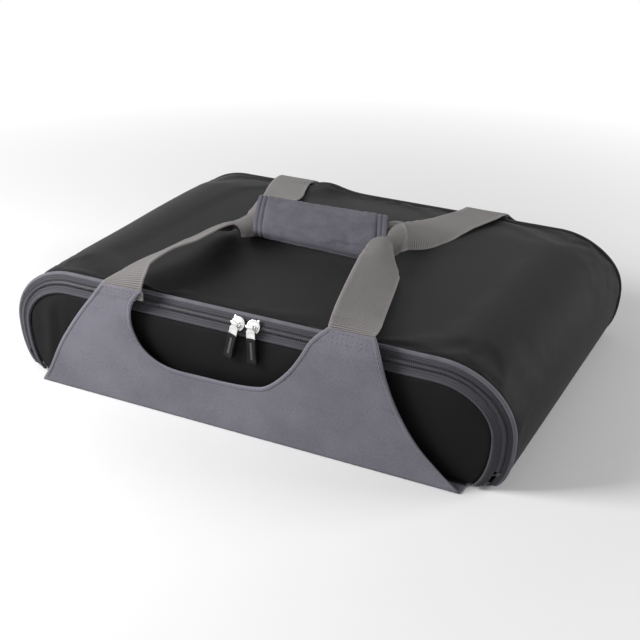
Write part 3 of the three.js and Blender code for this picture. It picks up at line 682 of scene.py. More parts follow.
buildWall(wall)
print("stage: walls sewn")

ends = {
    "steps": (42, 28, 32, 38), "middleX": 146, "middleZ": 41.0, "sideShare": 0.38,
    "rows": (
        0, 0.012, 0.03, 0.055, 0.085, 0.12, 0.165, 0.215, 0.27, 0.33, 0.4, 0.48, 0.56, 0.65, 0.74, 0.83,
        0.92, 1,
    ),
}


def endRings(inset, rows):
    # rings from the seam of an end panel in to a line along its middle
    loop = sectionLoop(inset, ends["steps"], 0.0, inset, bag["panelFoot"])
    half = sum(ends["steps"])
    grid = np.zeros((len(rows), len(loop), 3))
    for c, (x, z) in enumerate(loop):
        k = c if c <= half else 2 * half - c
        j = min(k, half - k)
        mid = ends["middleX"] * min(1.0, j / (half * ends["sideShare"])) * (1 if c <= half else -1)
        across, up = mid - x, ends["middleZ"] - z
        for r, t in enumerate(rows):
            # the second value is how far in from the seam the place lies
            grid[r, c] = (x + across * t, math.hypot(across, up) * t, z + up * t)
    return grid


def rolledPad(settings):
    # an end panel that rolls from its seam to a crowned face, and each place's distance from the seam
    outer = endRings(settings["inset"], ends["rows"])
    reach = outer[:, :, 1].copy()
    roll = settings["roll"] * (1 - np.exp(-reach / settings["rollReach"]))
    crown = np.clip(reach / settings["crownReach"], 0, 1)
    outer[:, :, 1] = settings["seam"] + roll + settings["crown"] * crown * crown * (3 - 2 * crown)
    return outer, reach, reach < settings["sewn"]


puckers = {"size": 17 / 2.4, "width": 4, "seed": 5}


def padWrinkles(x, z, d, settings):
    # soft dents over the face and small puckers along the seam
    dent = ripple((x, 0, z * settings["dentSquash"]), settings["dentSize"], settings["seed"])
    pucker = ripple((x, 0, z), puckers["size"], settings["seed"] + puckers["seed"])
    pucker *= settings["pucker"] * peak(d, settings["puckerPlace"], puckers["width"])
    return settings["dents"] * dent * ease(d / settings["looseReach"]), pucker


# each pleat is its place across, its width and its depth
frontPad = {
    "inset": 15.5, "seam": 146.9, "roll": 2.3, "rollReach": 2.2, "crown": 0.9, "crownReach": 32, "sewn": 1.6,
    "back": 142.7, "backInset": 1.6, "backRows": (0, 0.4, 1),
    "pleats": ((-184, 7, 2.1), (-171, 6, 1.7), (-158, 8, 1.6), (-143, 9, 0.9)), "pleatLean": 0.06,
    "pleatMiddle": 40, "pleatBack": 0.7, "pleatNext": 1.3, "pleatTop": 78, "pleatFade": 26,
    "dents": 0.9, "dentSize": 38, "dentSquash": 1.4, "looseReach": 12, "pucker": 0.5, "puckerPlace": 4,
    "seed": 4.0,
    "furthest": 152.4, "footRoom": 1.6, "footTop": 38, "footFade": 24,
    "pullRoom": 150.35, "pullX": 4, "pullHalf": 34, "pullFoot": 46,
    "cloth": {"pressure": 1.6, "slack": 0.02, "stiffness": 15, "bending": 0.05, "frames": 14, "cap": 1.6},
}


def buildFrontPad(settings):
    # the front panel: fabric drawn over foam, puckered along its seam and pleated at the left
    outer, reach, sewn = rolledPad(settings)
    outer[:, :, 1] *= -1
    outer = settleCloth(outer, True, sewn, settings["cloth"])
    for r, c in np.ndindex(reach.shape):
        x, y, z = outer[r, c]
        d = reach[r, c]
        low = ease(d / settings["looseReach"]) * ease((settings["pleatTop"] - z) / settings["pleatFade"])
        for place, width, depth in settings["pleats"]:
            lean = place + (z - settings["pleatMiddle"]) * settings["pleatLean"]
            behind = settings["pleatBack"] * peak(x, lean + width * settings["pleatNext"], width)
            y -= depth * (peak(x, lean, width) - behind) * low
        y -= sum(padWrinkles(x, z, d, settings))
        furthest = settings["furthest"]
        furthest -= settings["footRoom"] * ease((settings["footTop"] - z) / settings["footFade"])
        if abs(x - settings["pullX"]) < settings["pullHalf"] and z > settings["pullFoot"]:
            furthest = settings["pullRoom"]
        outer[r, c, 1] = max(y, -furthest)
    inner = endRings(settings["inset"] + settings["backInset"], settings["backRows"])
    inner[:, :, 1] = -settings["back"]
    piece = twoSkins("frontPad", outer, inner, True, joinLast=False, merge=meshLimits["merge"])
    finishPiece(piece, blackFabric, "front_panel", ("panel_outer", "panel_foam"))


rearPad = {
    "inset": 2.6, "seam": 142.2, "roll": 7.0, "rollReach": 5.6, "crown": 1.2, "crownReach": 36, "sewn": 1.6,
    "back": 142.7, "backInset": 1.2, "backSeam": 141.2, "backSlope": 0.2,
    "dents": 0.7, "dentSize": 42, "dentSquash": 1.3, "looseReach": 14, "pucker": 0.4, "puckerPlace": 5,
    "seed": 14.0, "furthest": 151.6,
    "cloth": {"pressure": 1.6, "slack": 0.015, "stiffness": 15, "bending": 0.05, "frames": 14, "cap": 1.5},
}


def buildRearPad(settings):
    # the rear end rolls from the seam to a flat padded back
    outer, reach, sewn = rolledPad(settings)
    outer = settleCloth(outer[:, ::-1], True, sewn[:, ::-1], settings["cloth"])[:, ::-1]
    for r, c in np.ndindex(reach.shape):
        x, y, z = outer[r, c]
        outer[r, c, 1] = min(y + sum(padWrinkles(x, z, reach[r, c], settings)), settings["furthest"])
    inner = endRings(settings["inset"] + settings["backInset"], ends["rows"])
    sloped = settings["backSeam"] + inner[:, :, 1] * settings["backSlope"]
    inner[:, :, 1] = np.minimum(settings["back"], sloped)
    piece = twoSkins("rearPad", outer, inner, True, joinLast=False, merge=meshLimits["merge"])
    sagRearEdge(piece)
    finishPiece(piece, blackFabric, "bag", ("rear_outer", "rear_foam"))


buildFrontPad(frontPad)
buildRearPad(rearPad)
print("stage: end panels sewn")

lining = {
    "inset": 7.3, "steps": (24, 12, 24, 26), "half": 139.2, "skin": 0.45,
    "endRows": (0, 0.05, 0.15, 0.3, 0.5, 0.7, 0.85, 1), "endDrop": 3, "roundShare": 0.93,
}
# name, its faces' places along the depth, inset from the bag's outline, node and body
endLinings = (
    ("panelLining", -142.35, -141.5, 17.0, "panel_lining", "front_panel"),
    ("rearLining", 139.75, 140.6, 7.9, "rear_lining", "bag"),
)


def buildLinings(settings):
    # the foil tube and the two foil ends of the food compartment
    rows = np.linspace(-settings["half"], settings["half"], 57)
    insets = [settings["inset"] + side * settings["skin"] for side in (1, -1)]
    skins = [tubeGrid(sectionLoop(inset, settings["steps"]), rows) for inset in insets]
    tube = twoSkins("liningTube", *skins, True)
    sagRearEdge(tube, 0.0)
    finishPiece(tube, foilLining, "bag", ("lining",))
    for name, front, back, inset, node, body in endLinings:
        outer = endRings(inset, settings["endRows"])
        inner = outer.copy()
        outer[:, :, 1] = front
        inner[:, :, 1] = back
        piece = twoSkins(name, outer, inner, True, joinLast=False, merge=meshLimits["merge"])
        sagRearEdge(piece, 0.0)
        layUvFlat(piece)
        finishPiece(piece, foilLining, body, (node,))


buildLinings(lining)
print("stage: linings fitted")

# the zip band, in the same shares of its length as in the CAD source
band = {"across": math.hypot(bag["bandInset"], bag["bandDrop"])}
band["in"] = bag["bandInset"] / band["across"]
band["out"] = bag["bandDrop"] / band["across"]
footArc = drop * math.radians(-bag["bandFoot"])
cornerArc = (bag["topCorner"] + shoulderRise) / 2 * math.pi / 2
bandRun = 2 * (footArc + cornerArc + cornerX)
toothMid = band["across"] / 2


def bandPoint(share, inset):
    # a place on the bag's outline from the front, drawn in by an inset
    side = -1 if share > 0.5 else 1
    run = min(share, 1 - share) * bandRun
    if run < footArc:
        a = math.radians(bag["bandFoot"] * (1 - run / footArc))
        x = footX - inset + bag["bottomCorner"] * math.cos(a)
        return np.array([side * x, bag["widest"] + drop * math.sin(a)])
    rise = shoulderRise - inset
    if run < footArc + cornerArc:
        a = math.pi / 2 * (run - footArc) / cornerArc
        x = cornerX + (bag["topCorner"] - inset) * math.cos(a)
        return np.array([side * x, bag["widest"] + rise * math.sin(a)])
    return np.array([side * (bandRun / 2 - run), bag["widest"] + rise])


def bandPlace(share, across, out):
    # a place on the slanting band: its share of the length, how far across it and how far out of it
    outer = bandPoint(share, bag["cordInset"])
    inward = bandPoint(share, bag["cordInset"] + bag["bandInset"]) - outer
    inward = inward / np.linalg.norm(inward)
    move = inward * (across * band["in"] - out * band["out"])
    y = -bag["edgeLine"] - across * band["out"] - out * band["in"]
    return np.array([outer[0] + move[0], y, outer[1] + move[1]])


def bandStrip(name, section, turned=(1, 1, 1)):
    # a cord, a flange or a tape that runs the whole length of the band
    rows = [[bandPlace(s, u, w) * turned for u, w in section] for s in np.linspace(0, 1, zipBand["steps"])]
    return loftPiece(name, rows)


def roundSection(middle, radius, sides):
    turns = [2 * math.pi * i / sides for i in range(sides)]
    return [(middle + radius * math.cos(a), radius * math.sin(a)) for a in turns]


def wearCord(cord):
    paintEdge(cord, [0.5 + 0.5 * ripple(v.co / mm, zipBand["wearSize"]) for v in cord.data.vertices])


# sections are across the band and out from it; a tooth's rows are across, and its low and high faces
zipBand = {
    "steps": 300, "cord": 1.85, "cordSides": 16, "panelCord": 1.4, "panelCordSides": 14, "wearSize": 9,
    "pitch": 1.62, "rootHalf": 0.36, "startAngle": 34,
    "rootSpread": 1.25, "tipSpread": 0.95, "crestShare": 0.7,
    "tooth": ((2.45, 0.55, 1.1), (1.7, 0.5, 1.95), (0.2, 0.5, 2.15), (-0.75, 0.55, 2.0), (-1.15, 0.8, 1.5)),
    "outerFlange": [
        (1.3, 0.1), (1.8, 0.8), (2.3, 1.2), (2.9, 1.25), (3.4, 0.75), (3.9, 1.15), (4.5, 1.2),
        (4.95, 0.75), (5.3, 1.1), (5.7, 0.85), (5.8, 0.1),
    ],
    "bodyTape": [(1.2, -0.4), (6.05, -0.4), (6.05, 0.35), (1.2, 0.35)],
    "panelTape": [(9.25, -0.4), (14.2, -0.4), (14.2, 0.35), (9.25, 0.35)],
    "innerFlange": [
        (9.5, 0.1), (9.6, 0.75), (10.0, 1.1), (10.5, 0.7), (11.1, 1.1), (11.8, 1.1), (12.3, 0.65),
        (12.9, 1.05), (13.6, 1.0), (14.3, 0.8), (14.4, 0.1),
    ],
}


def ringFaces(first, sides, rings):
    # quads between rings of points that follow each other, and a cap at both ends
    faces = []
    for k in range(rings - 1):
        a = first + sides * k
        for e in range(sides):
            f = (e + 1) % sides
            faces.append([a + e, a + f, a + sides + f, a + sides + e])
    last = first + sides * (rings - 1)
    return faces + [[end + e for e in range(sides)] for end in (first, last)]


def coilRow(name, side, offset, settings):
    # one comb of small hooked teeth, each reaching past the middle between two of the other comb's
    start = drop * math.radians(settings["startAngle"])
    points, faces = [], []
    for i in range(int((bandRun - 2 * start) / settings["pitch"])):
        middle = start + (i + 0.5 + offset) * settings["pitch"]
        faces += ringFaces(len(points), 4, len(settings["tooth"]))
        for u, low, high in settings["tooth"]:
            half = settings["rootHalf"] * (settings["rootSpread"] if u < 0 else settings["tipSpread"])
            crest = half * settings["crestShare"]
            for move, w in ((-half, low), (half, low), (crest, high), (-crest, high)):
                points.append(bandPlace((middle + move) / bandRun, toothMid + side * u, w))
    return tidyMesh(makePiece(name, points, faces))


def buildZipBand(settings):
    cordSection = roundSection(0, settings["cord"], settings["cordSides"])
    cord = bandStrip("edgePiping", cordSection)
    wearCord(cord)
    finishPiece(cord, bindingFabric, "bag", ("edge_piping_front",))
    rear = bandStrip("rearPiping", cordSection, (1, -1, 1))
    sagRearEdge(rear)
    finishPiece(rear, blackBinding, "bag", ("edge_piping_rear",))
    panelSection = roundSection(band["across"], settings["panelCord"], settings["panelCordSides"])
    inner = bandStrip("panelPiping", panelSection)
    wearCord(inner)
    finishPiece(inner, flangeFabric, "front_panel", ("panel_piping",))
    for name, fabric, slotName, body, nodes in (
        ("outerFlange", flangeFabric, "grey_piping", "bag", ()),
        ("innerFlange", flangeFabric, "grey_piping", "front_panel", ()),
        ("bodyTape", tapeFabric, "zip_tape", "bag", ("zip_tape_body",)),
        ("panelTape", tapeFabric, "zip_tape", "front_panel", ("zip_tape_panel",)),
    ):
        finishPiece(bandStrip(name, settings[name]), fabric, body, nodes, angle=40)
    for name, side, offset, body, node in (
        ("bodyCoil", -1, 0.0, "bag", "zip_teeth_body"),
        ("panelCoil", 1, 0.5, "front_panel", "zip_teeth_panel"),
    ):
        row = coilRow(name, side, offset, settings)
        finishPiece(row, coilNylon, body, (node,), angle=35)


buildZipBand(zipBand)
print("stage: zip band laid")

foldTape = {"front": 149.4, "back": 139.2, "half": 190, "low": 1.5, "high": 2.3}


def flatSheet(name, xs, ys, low, high):
    skins = [[[(x, y, z) for y in ys] for x in xs] for z in (low, high)]
    return twoSkins(name, *skins, False)


def buildFoldTape(settings):
    # the strip of binding that the front panel folds on
    xs = np.linspace(-settings["half"], settings["half"], 90)
    ys = np.linspace(-settings["front"], -settings["back"], 9)
    piece = flatSheet("foldTape", xs, ys, settings["low"], settings["high"])
    finishPiece(piece, blackBinding, None, ("panel_fold_tape",), angle=40)
    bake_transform(piece)


buildFoldTape(foldTape)
print("stage: fold tape laid")


def hermite(a, b, start, stop, f):
    # the curve from a to b that leaves and arrives in the given directions
    return a + start * f + (3 * (b - a) - 2 * start - stop) * f ** 2 + (start + stop - 2 * (b - a)) * f ** 3


def smoothLine(controls, steps):
    # even spline through control points, as the CAD outline is drawn
    controls = np.array(controls, float)
    last = len(controls) - 1
    line = []
    for k in range(steps * last + 1):
        t = k / steps
        i = min(int(t), last - 1)
        f = t - i
        a, b = controls[max(i - 1, 0)], controls[i]
        c, d = controls[i + 1], controls[min(i + 2, last)]
        line.append(hermite(b, c, (c - a) / 2, (d - b) / 2, f))
    return np.array(line)


def runLengths(line):
    return np.insert(np.cumsum(np.linalg.norm(np.diff(line, axis=0), axis=1)), 0, 0)


def placesAt(marks, reach, line):
    return np.stack([np.interp(marks, reach, line[:, k]) for k in range(line.shape[1])], axis=1)


def evenPlaces(line, count, low=0.0, high=1.0):
    # count points at even lengths along a line
    reach = runLengths(line)
    return placesAt(np.linspace(low, high, count) * reach[-1], reach, line)


sling = {
    "half": 190, "height": 103, "foot": 159.6, "lean": math.tan(math.radians(1.7)), "gap": 0.9,
    "thickness": 1.2, "arm": 19.3, "leftArm": -102, "rightArm": 98,
    "left": [(1, 0), (0.8755, 0.13), (0.6681, 0.4), (0.4054, 0.66), (0.1565, 0.87), (0, 1)],
    "scoop": [
        (0, 1), (-0.0668, 0.85), (-0.0644, 0.66), (0.0038, 0.5), (0.1475, 0.408), (0.4418, 0.405),
        (0.6301, 0.428), (0.7184, 0.492), (0.8067, 0.63), (0.8714, 0.775), (0.9244, 0.9), (1, 1),
    ],
    "right": [(0, 1), (0.0905, 0.87), (0.2552, 0.585), (0.4982, 0.31), (0.7648, 0.13), (1, 0)],
    "sideCount": 44, "footCount": 62, "middle": 16, "scoopShares": (0, 0.3, 0.7, 1), "cutPast": 20,
    "hem": 3.0, "hemRise": 0.38, "hemFade": 0.5, "round": 0.35, "roundDrop": 0.28,
    "groove": 3.6, "grooveDepth": 0.2, "grooveWidth": 0.35, "backShare": 0.25,
    "ripple": 0.8, "rippleSize": 55, "billow": 0.9, "billowSize": 120, "billowSquash": 0.8,
    "flutter": 0.9, "flutterSize": 30, "flutterReach": 9, "inwardMost": -0.5,
    "looseTop": (96, 20), "looseFoot": 18,
    "cap": 0.4, "capRamp": (92.5, 1.2), "capGroove": 0.25, "capGroovePlace": 92.3, "capGrooveWidth": 0.5,
    "topFade": 3, "tuckHeight": 1.2, "footLift": 0.25, "backTuck": 0.3, "backLow": 0.8,
    "armRise": (0.0, 3.5), "armRiseRamp": (74, 30), "armLean": (0.0, 5.0), "armLeanRamp": (84, 24),
    "baseHalf": 159, "baseThickness": 1.15, "wornRows": 4,
    "hemStitch": 2.3, "hemStitchLift": 0.05,
    "armStitches": (94.5, 97.5, 101.0), "armStitchHalf": 16.5, "armStitchLift": 0.42,
}
# the rear one's arms lie a little over the bag's edge; its left and right are as seen from behind
rearSling = {**sling, "leftArm": -92, "rightArm": 107, "armRise": (-8.5, -8.5), "armLean": (6.5, 6.5)}


def slingPlane(x, z, settings):
    # distance of a sling's inner face from the bag's middle, and its height, z up the cloth
    side = 0 if x < 0 else 1
    lean = settings["armLean"][side] * ramp(z, settings["armLeanRamp"])
    rise = settings["armRise"][side] * ramp(z, settings["armRiseRamp"])
    return settings["foot"] - settings["lean"] * z - lean, settings["gap"] + z + rise


def lengthened(end, before, past):
    way = end - before
    return end + way / np.linalg.norm(way) * past


def movedLine(line, d, towards, low, high):
    # an edge moved sideways into the cloth by d, and cut off at two heights
    first = lengthened(line[0], line[1], sling["cutPast"])
    last = lengthened(line[-1], line[-2], sling["cutPast"])
    line = np.concatenate([[first], line, [last]])
    way = np.gradient(line, axis=0)
    way[0], way[-1] = way[1], way[-2]
    way /= np.linalg.norm(way, axis=1, keepdims=True)
    line = line + np.stack([-way[:, 1], way[:, 0]], axis=1) * d * towards
    points = []
    for a, b in zip(line[:-1], line[1:]):
        for level in (low, high):
            if (a[1] - level) * (b[1] - level) < 0:
                points.append(a + (b - a) * (level - a[1]) / (b[1] - a[1]))
        if low <= b[1] <= high:
            points.append(b)
    return np.array(points)


def slingEdges(settings):
    # left side from arm to foot, the scoop from left arm to right arm, right side from foot to arm
    def place(shares, fromX, toX):
        return [(fromX + (toX - fromX) * x, z * settings["height"]) for x, z in shares]

    leftArm, rightArm, arm, half = (settings[key] for key in ("leftArm", "rightArm", "arm", "half"))
    left = smoothLine(place(settings["left"], leftArm - arm, -half), 12)[::-1]
    scoop = smoothLine(place(settings["scoop"], leftArm + arm, rightArm - arm), 12)
    right = smoothLine(place(settings["right"], rightArm + arm, half), 12)[::-1]
    return left, scoop, right


def outerColumn(d, settings):
    # one column of a sling's sheet, a distance in from its two sides and its foot
    left, scoop, right = slingEdges(settings)
    low = max(d, 0.001)
    left = movedLine(left, d, 1, low, settings["height"])
    right = movedLine(right, d, 1, low, settings["height"])
    foot = np.array([left[-1], right[0]])
    side = settings["sideCount"]
    return np.concatenate([
        evenPlaces(left, side)[:-1], evenPlaces(foot, settings["footCount"])[:-1], evenPlaces(right, side),
    ])


def scoopColumn(d, settings):
    # one column of a sling's sheet, a distance in from the scoop
    line = movedLine(slingEdges(settings)[1], d, -1, -1.0, settings["height"])
    side, middle = settings["sideCount"], settings["footCount"]
    a, b, c, e = settings["scoopShares"]
    return np.concatenate([
        evenPlaces(line, side, a, b)[:-1], evenPlaces(line, middle, b, c)[:-1], evenPlaces(line, side, c, e),
    ])


# places in from a free edge, and a distance at which a hem no longer counts
hemSteps = (0, 0.35, 0.9, 1.8, 2.8, 3.5, 3.95, 4.35, 4.8, 5.6, 7.5, 10.5)
farAway = 99


def hemProfile(d, settings):
    # raised hem along a free edge, with the line that its stitches press in
    rounding = 1 - math.exp(-d / settings["round"])
    raised = settings["hemRise"] * rounding * (1 - ramp(d, (settings["hem"], settings["hemFade"])))
    groove = settings["grooveDepth"] * peak(d, settings["groove"], settings["grooveWidth"])
    return raised - groove - settings["roundDrop"] * (1 - rounding)


def clothMove(x, z, fromHole, seed, settings):
    # folds of the loose part of a sling's sheet, outwards
    top, fade = settings["looseTop"]
    loose = ease((top - z) / fade) * ease(z / settings["looseFoot"])
    move = settings["ripple"] * ripple((x, 0, z), settings["rippleSize"], seed) * loose
    billow = ripple((x * settings["billowSquash"], 0, z), settings["billowSize"], seed + 7)
    move += settings["billow"] * billow * loose
    flutter = settings["flutter"] * math.exp(-fromHole / settings["flutterReach"])
    move += flutter * ripple((x, 0, z), settings["flutterSize"], seed + 3) * loose
    return max(move, settings["inwardMost"])


def slingSheet(name, settings, seed, sign):
    # a sling from columns between its outer edge and its scoop, with hems, folds and a capped top
    columns = [outerColumn(d, settings) for d in hemSteps]
    inward = [scoopColumn(d, settings) for d in hemSteps]
    shares = np.linspace(0, 1, settings["middle"])[1:-1]
    middle = [columns[-1] + (inward[-1] - columns[-1]) * share for share in shares]
    flat = np.stack(columns + middle + inward[::-1], axis=1)
    rows, cols = flat.shape[:2]
    footStart = settings["sideCount"]
    footStop = footStart + settings["footCount"] - 2
    outer = np.zeros((rows, cols, 3))
    inner = np.zeros((rows, cols, 3))
    for r, c in np.ndindex(rows, cols):
        x, z = flat[r, c]
        fromEdge = hemSteps[c] if c < len(hemSteps) and not footStart <= r < footStop else farAway
        fromHole = hemSteps[cols - 1 - c] if cols - 1 - c < len(hemSteps) else farAway
        relief = hemProfile(fromHole, settings) + hemProfile(fromEdge, settings)
        relief *= ease((settings["height"] - z) / settings["topFade"])
        relief += settings["cap"] * ramp(z, settings["capRamp"])
        relief -= settings["capGroove"] * peak(z, settings["capGroovePlace"], settings["capGrooveWidth"])
        move = clothMove(x, z, fromHole, seed, settings)
        plane, height = slingPlane(x, z, settings)
        low = settings["tuckHeight"]
        tuck = 0.0
        if z < low:
            tuck = (low - z) ** 2 * 0.5
            height = settings["footLift"] + z * (settings["gap"] + low - settings["footLift"]) / low
        back = max(relief, 0.0) * settings["backShare"]
        outer[r, c] = (x, -(plane + settings["thickness"] + relief + move - tuck), height)
        innerHeight = max(height, settings["gap"] * settings["backLow"])
        inner[r, c] = (x, -(plane - back + move - tuck * settings["backTuck"]), innerHeight)
    if sign < 0:
        outer[:, :, :2] *= -1
        inner[:, :, :2] *= -1
    piece = twoSkins(name, outer, inner, False)
    layUvFlat(piece)
    worn = np.zeros((2, rows, cols))
    for c in range(settings["wornRows"]):
        share = 1 - c / settings["wornRows"]
        worn[:, :, cols - 1 - c] = share
        worn[:, :footStart, c] = share
        worn[:, footStop:, c] = share
    paintEdge(piece, worn.ravel())
    return piece


def slingFace(x, z, sign, settings, lift):
    # a place on the outer face of a sling's sheet, z up its own height
    plane, height = slingPlane(x, z, settings)
    return np.array([x * sign, -(plane + settings["thickness"] + lift) * sign, height])


# each ring of a stitch is its share of the length and of the width
stitch = {
    "length": 2.7, "gap": 1.2, "width": 0.336, "flat": 0.6, "rise": 0.3, "riseFrom": 0.6, "sides": 6,
    "rings": ((0, 0.35), (0.18, 0.85), (0.5, 1.0), (0.82, 0.85), (1.0, 0.35)),
}


def unit(way):
    return way / np.linalg.norm(way)


def stitchRows(name, lines, body, settings=stitch):
    # small capsules of thread laid end to end along lines of places and outward directions
    points, faces = [], []
    places, sizes = np.array(settings["rings"]).T
    step = settings["length"] + settings["gap"]
    sides = settings["sides"]
    for line, outs in lines:
        line = np.asarray(line, float)
        outs = np.asarray(outs, float)
        reach = runLengths(line)
        for i in range(int(reach[-1] / step)):
            marks = i * step + settings["gap"] / 2 + settings["length"] * places
            centres = placesAt(marks, reach, line)
            out = unit(placesAt(marks[2:3], reach, outs)[0])
            side = np.cross(out, unit(centres[-1] - centres[0]))
            faces += ringFaces(len(points), sides, len(sizes))
            for centre, size in zip(centres, sizes):
                arch = settings["rise"] * (size - settings["riseFrom"])
                wide = settings["width"] * size
                for a in range(sides):
                    turn = 2 * math.pi * a / sides
                    high = arch + settings["flat"] * wide * math.sin(turn)
                    points.append(centre + out * high + side * wide * math.cos(turn))
    piece = tidyMesh(makePiece(name, points, faces))
    return finishPiece(piece, thread, body)


def buildSlings():
    # both slings with their seams, and the sheet under the bag that joins them
    for name, sign, body, node, seed, settings in (
        ("slingFront", 1, None, "sling_front", 3.0, sling),
        ("slingRear", -1, "bag", "sling_rear", 11.0, rearSling),
    ):
        piece = slingSheet(name, settings, seed, sign)
        finishPiece(piece, greyFabric, body, (node,))
        if body is None:
            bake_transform(piece)
        edge = outerColumn(settings["hemStitch"], settings)
        hole = scoopColumn(settings["hemStitch"], settings)
        side = settings["sideCount"]
        hemLift = settings["hemRise"] + settings["hemStitchLift"]
        seams = [(line, hemLift) for line in (hole[2:-2], edge[2:side - 2], edge[2 - side:-2])]
        for middle in (settings["leftArm"], settings["rightArm"]):
            xs = np.linspace(middle - settings["armStitchHalf"], middle + settings["armStitchHalf"], 12)
            seams += [([(x, z) for x in xs], settings["armStitchLift"]) for z in settings["armStitches"]]
        lines = []
        for seam, lift in seams:
            places = [slingFace(x, z, sign, settings, lift) for x, z in seam]
            lines.append((places, [(0, -sign, 0)] * len(places)))
        stitchRows(name + "Stitches", lines, "front_sling" if sign > 0 else "bag")
    xs = np.linspace(-sling["half"], sling["half"], 60)
    ys = np.linspace(-sling["baseHalf"], sling["baseHalf"], 52)
    base = flatSheet("slingBase", xs, ys, 0.0, sling["baseThickness"])
    finishPiece(base, greyFabric, "bag", ("sling_base",), angle=40)


buildSlings()
print("stage: slings hung")

# each row of a strap is the middle of its width, the way across it, and how far its edges curl in
frontLeftStrap = [
    (-102, -157.1, 104.4, 1, 0, 0, 0), (-102.3, -150.5, 108.4, 0.97, -0.02, 0.22, 0),
    (-102.4, -136.4, 112.4, 0.89, -0.07, 0.44, 0), (-97.6, -112, 115.6, 0.88, -0.06, 0.47, 0),
    (-91.2, -87.1, 115.8, 0.9, -0.09, 0.43, 0), (-88, -63.5, 116, 0.88, -0.21, 0.44, 0),
    (-88.6, -38, 114.4, 0.81, -0.4, 0.43, 0.2), (-87, -22.5, 112.6, 0.68, -0.68, 0.29, 0.8),
    (-82.4, -13, 111.6, 0.44, -0.85, 0.1, 1.4),
]
frontRightStrap = [
    (98, -152.2, 107.8, 1, 0, 0, 0), (97.2, -144, 111.3, 0.98, 0.13, -0.16, 0),
    (92.2, -126, 111.8, 0.92, 0.23, -0.3, 0), (85.4, -100, 112.4, 0.87, 0.34, -0.35, 0),
    (78.2, -71.6, 113.3, 0.84, 0.4, -0.36, 0.1), (71.8, -46.3, 113.4, 0.85, 0.24, -0.45, 0.3),
    (68, -30, 114.6, 0.82, 0.28, -0.5, 0.8), (63.6, -16, 116.6, 0.72, 0.42, -0.55, 1.4),
    (57.5, -4.5, 118.4, 0.35, 0.8, -0.4, 1.8),
]
rearLeftStrap = [
    (-107.5, 150.4, 95.2, 1, 0, 0, 0), (-107.5, 143.4, 97.4, 1, 0, 0, 0),
    (-106.6, 132, 97.7, 0.98, 0.15, 0, 0), (-100, 111, 99.2, 0.94, 0.32, 0, 0),
    (-92.5, 90, 100.2, 0.94, 0.33, 0, 0), (-88, 68, 102.6, 0.93, 0.33, 0.1, 0),
    (-86, 46, 107.4, 0.84, 0.5, 0.2, 0.4), (-82.5, 27, 111.6, 0.5, 0.8, 0.34, 0.8),
]
rearRightStrap = [
    (92, 150.4, 95.2, 1, 0, 0, 0), (91, 143.4, 97.4, 1, 0, 0, 0), (88.5, 134, 97.7, 0.99, -0.1, 0, 0),
    (85, 120, 98.6, 0.97, -0.2, 0, 0), (80, 103, 99.8, 0.96, -0.27, -0.03, 0),
    (75.5, 86, 101.4, 0.93, -0.35, -0.1, 0.1), (72, 70, 104, 0.86, -0.45, -0.2, 0.3),
    (69, 55, 107.5, 0.78, -0.55, -0.3, 0.6), (65, 41, 111.5, 0.68, -0.64, -0.36, 0.9),
    (59, 28, 115.5, 0.5, -0.76, -0.42, 1.0),
]
# the places along and across the wrap that the straps pass inside it, and their curl
strap = {
    "width": 38, "thickness": 1.8, "steps": 8, "hidden": (94, 97, 100), "hiddenDepth": 1.0,
    "across": 15, "flatRim": 0.8, "roundRim": 0.25, "rimShare": 0.7, "selvage": 2.5, "bodyShare": 0.9,
    "frontLift": 0.95, "rearLift": -1.2,
    "frontInside": ((-61, -6, 0.8), (-46, -1, 0), (46, 0, 0), (61, 1, 0.6)),
    "rearInside": ((-61, 4, 0.6), (-46, 1, 0), (46, 1, 0), (61, 4, 0.7)),
}
wrap = {
    "length": 127, "x": -7, "y": 8, "z": 114, "tilt": math.radians(22), "twist": math.radians(5),
    "twistHalf": 63, "skew": (-3.0, -0.38),
}


def wrapPlace(u, v, w):
    # from the grip wrap's own directions: along it, across it from front to back, and out of the bag;
    # the hands have pulled its far edge to the left
    tilt = wrap["tilt"] + wrap["twist"] * u / wrap["twistHalf"]
    shift, slope = wrap["skew"]
    return np.array([
        wrap["x"] + u + shift + slope * v,
        wrap["y"] + v * math.cos(tilt) - w * math.sin(tilt),
        wrap["z"] + v * math.sin(tilt) + w * math.cos(tilt),
    ])


def curvePoint(points, t):
    # centripetal spline, as the CAD ribbon's
    last = len(points) - 1
    i = min(int(t), last - 1)
    f = t - i
    b, c = points[i], points[i + 1]
    a = points[i - 1] if i > 0 else 2 * points[0] - points[1]
    d = points[i + 2] if i + 2 <= last else 2 * points[last] - points[last - 1]
    k0, k1, k2 = (np.linalg.norm(q - p) ** 0.5 for p, q in ((a, b), (b, c), (c, d)))
    start = ((b - a) / k0 - (c - a) / (k0 + k1) + (c - b) / k1) * k1
    stop = ((c - b) / k1 - (d - b) / (k1 + k2) + (d - c) / k2) * k1
    return hermite(b, c, start, stop, f)


def strapSection(settings, curl):
    # flat webbing with rounded, slightly thicker selvage edges, its edges bent in by the curl's angle
    half, thick = settings["width"] / 2, settings["thickness"] / 2
    flatHalf, rimX = half - settings["flatRim"], half - settings["roundRim"]
    top = []
    for a in np.linspace(-flatHalf, flatHalf, settings["across"]):
        share = settings["bodyShare"] if abs(a) < half - settings["selvage"] else 1.0
        top.append((a, thick * share))
    rim = [(rimX, thick * settings["rimShare"]), (half, 0.0), (rimX, -thick * settings["rimShare"])]
    low = [(a, -b) for a, b in reversed(top)]
    flat = top + rim + low + [(-a, -b) for a, b in rim]
    if abs(curl) < 0.01:
        return flat
    bend = curl / half
    bent = []
    for a, b in flat:
        turn = bend * a
        bent.append((math.sin(turn) * (1 / bend - b), (1 - math.cos(turn)) / bend + b * math.cos(turn)))
    return bent


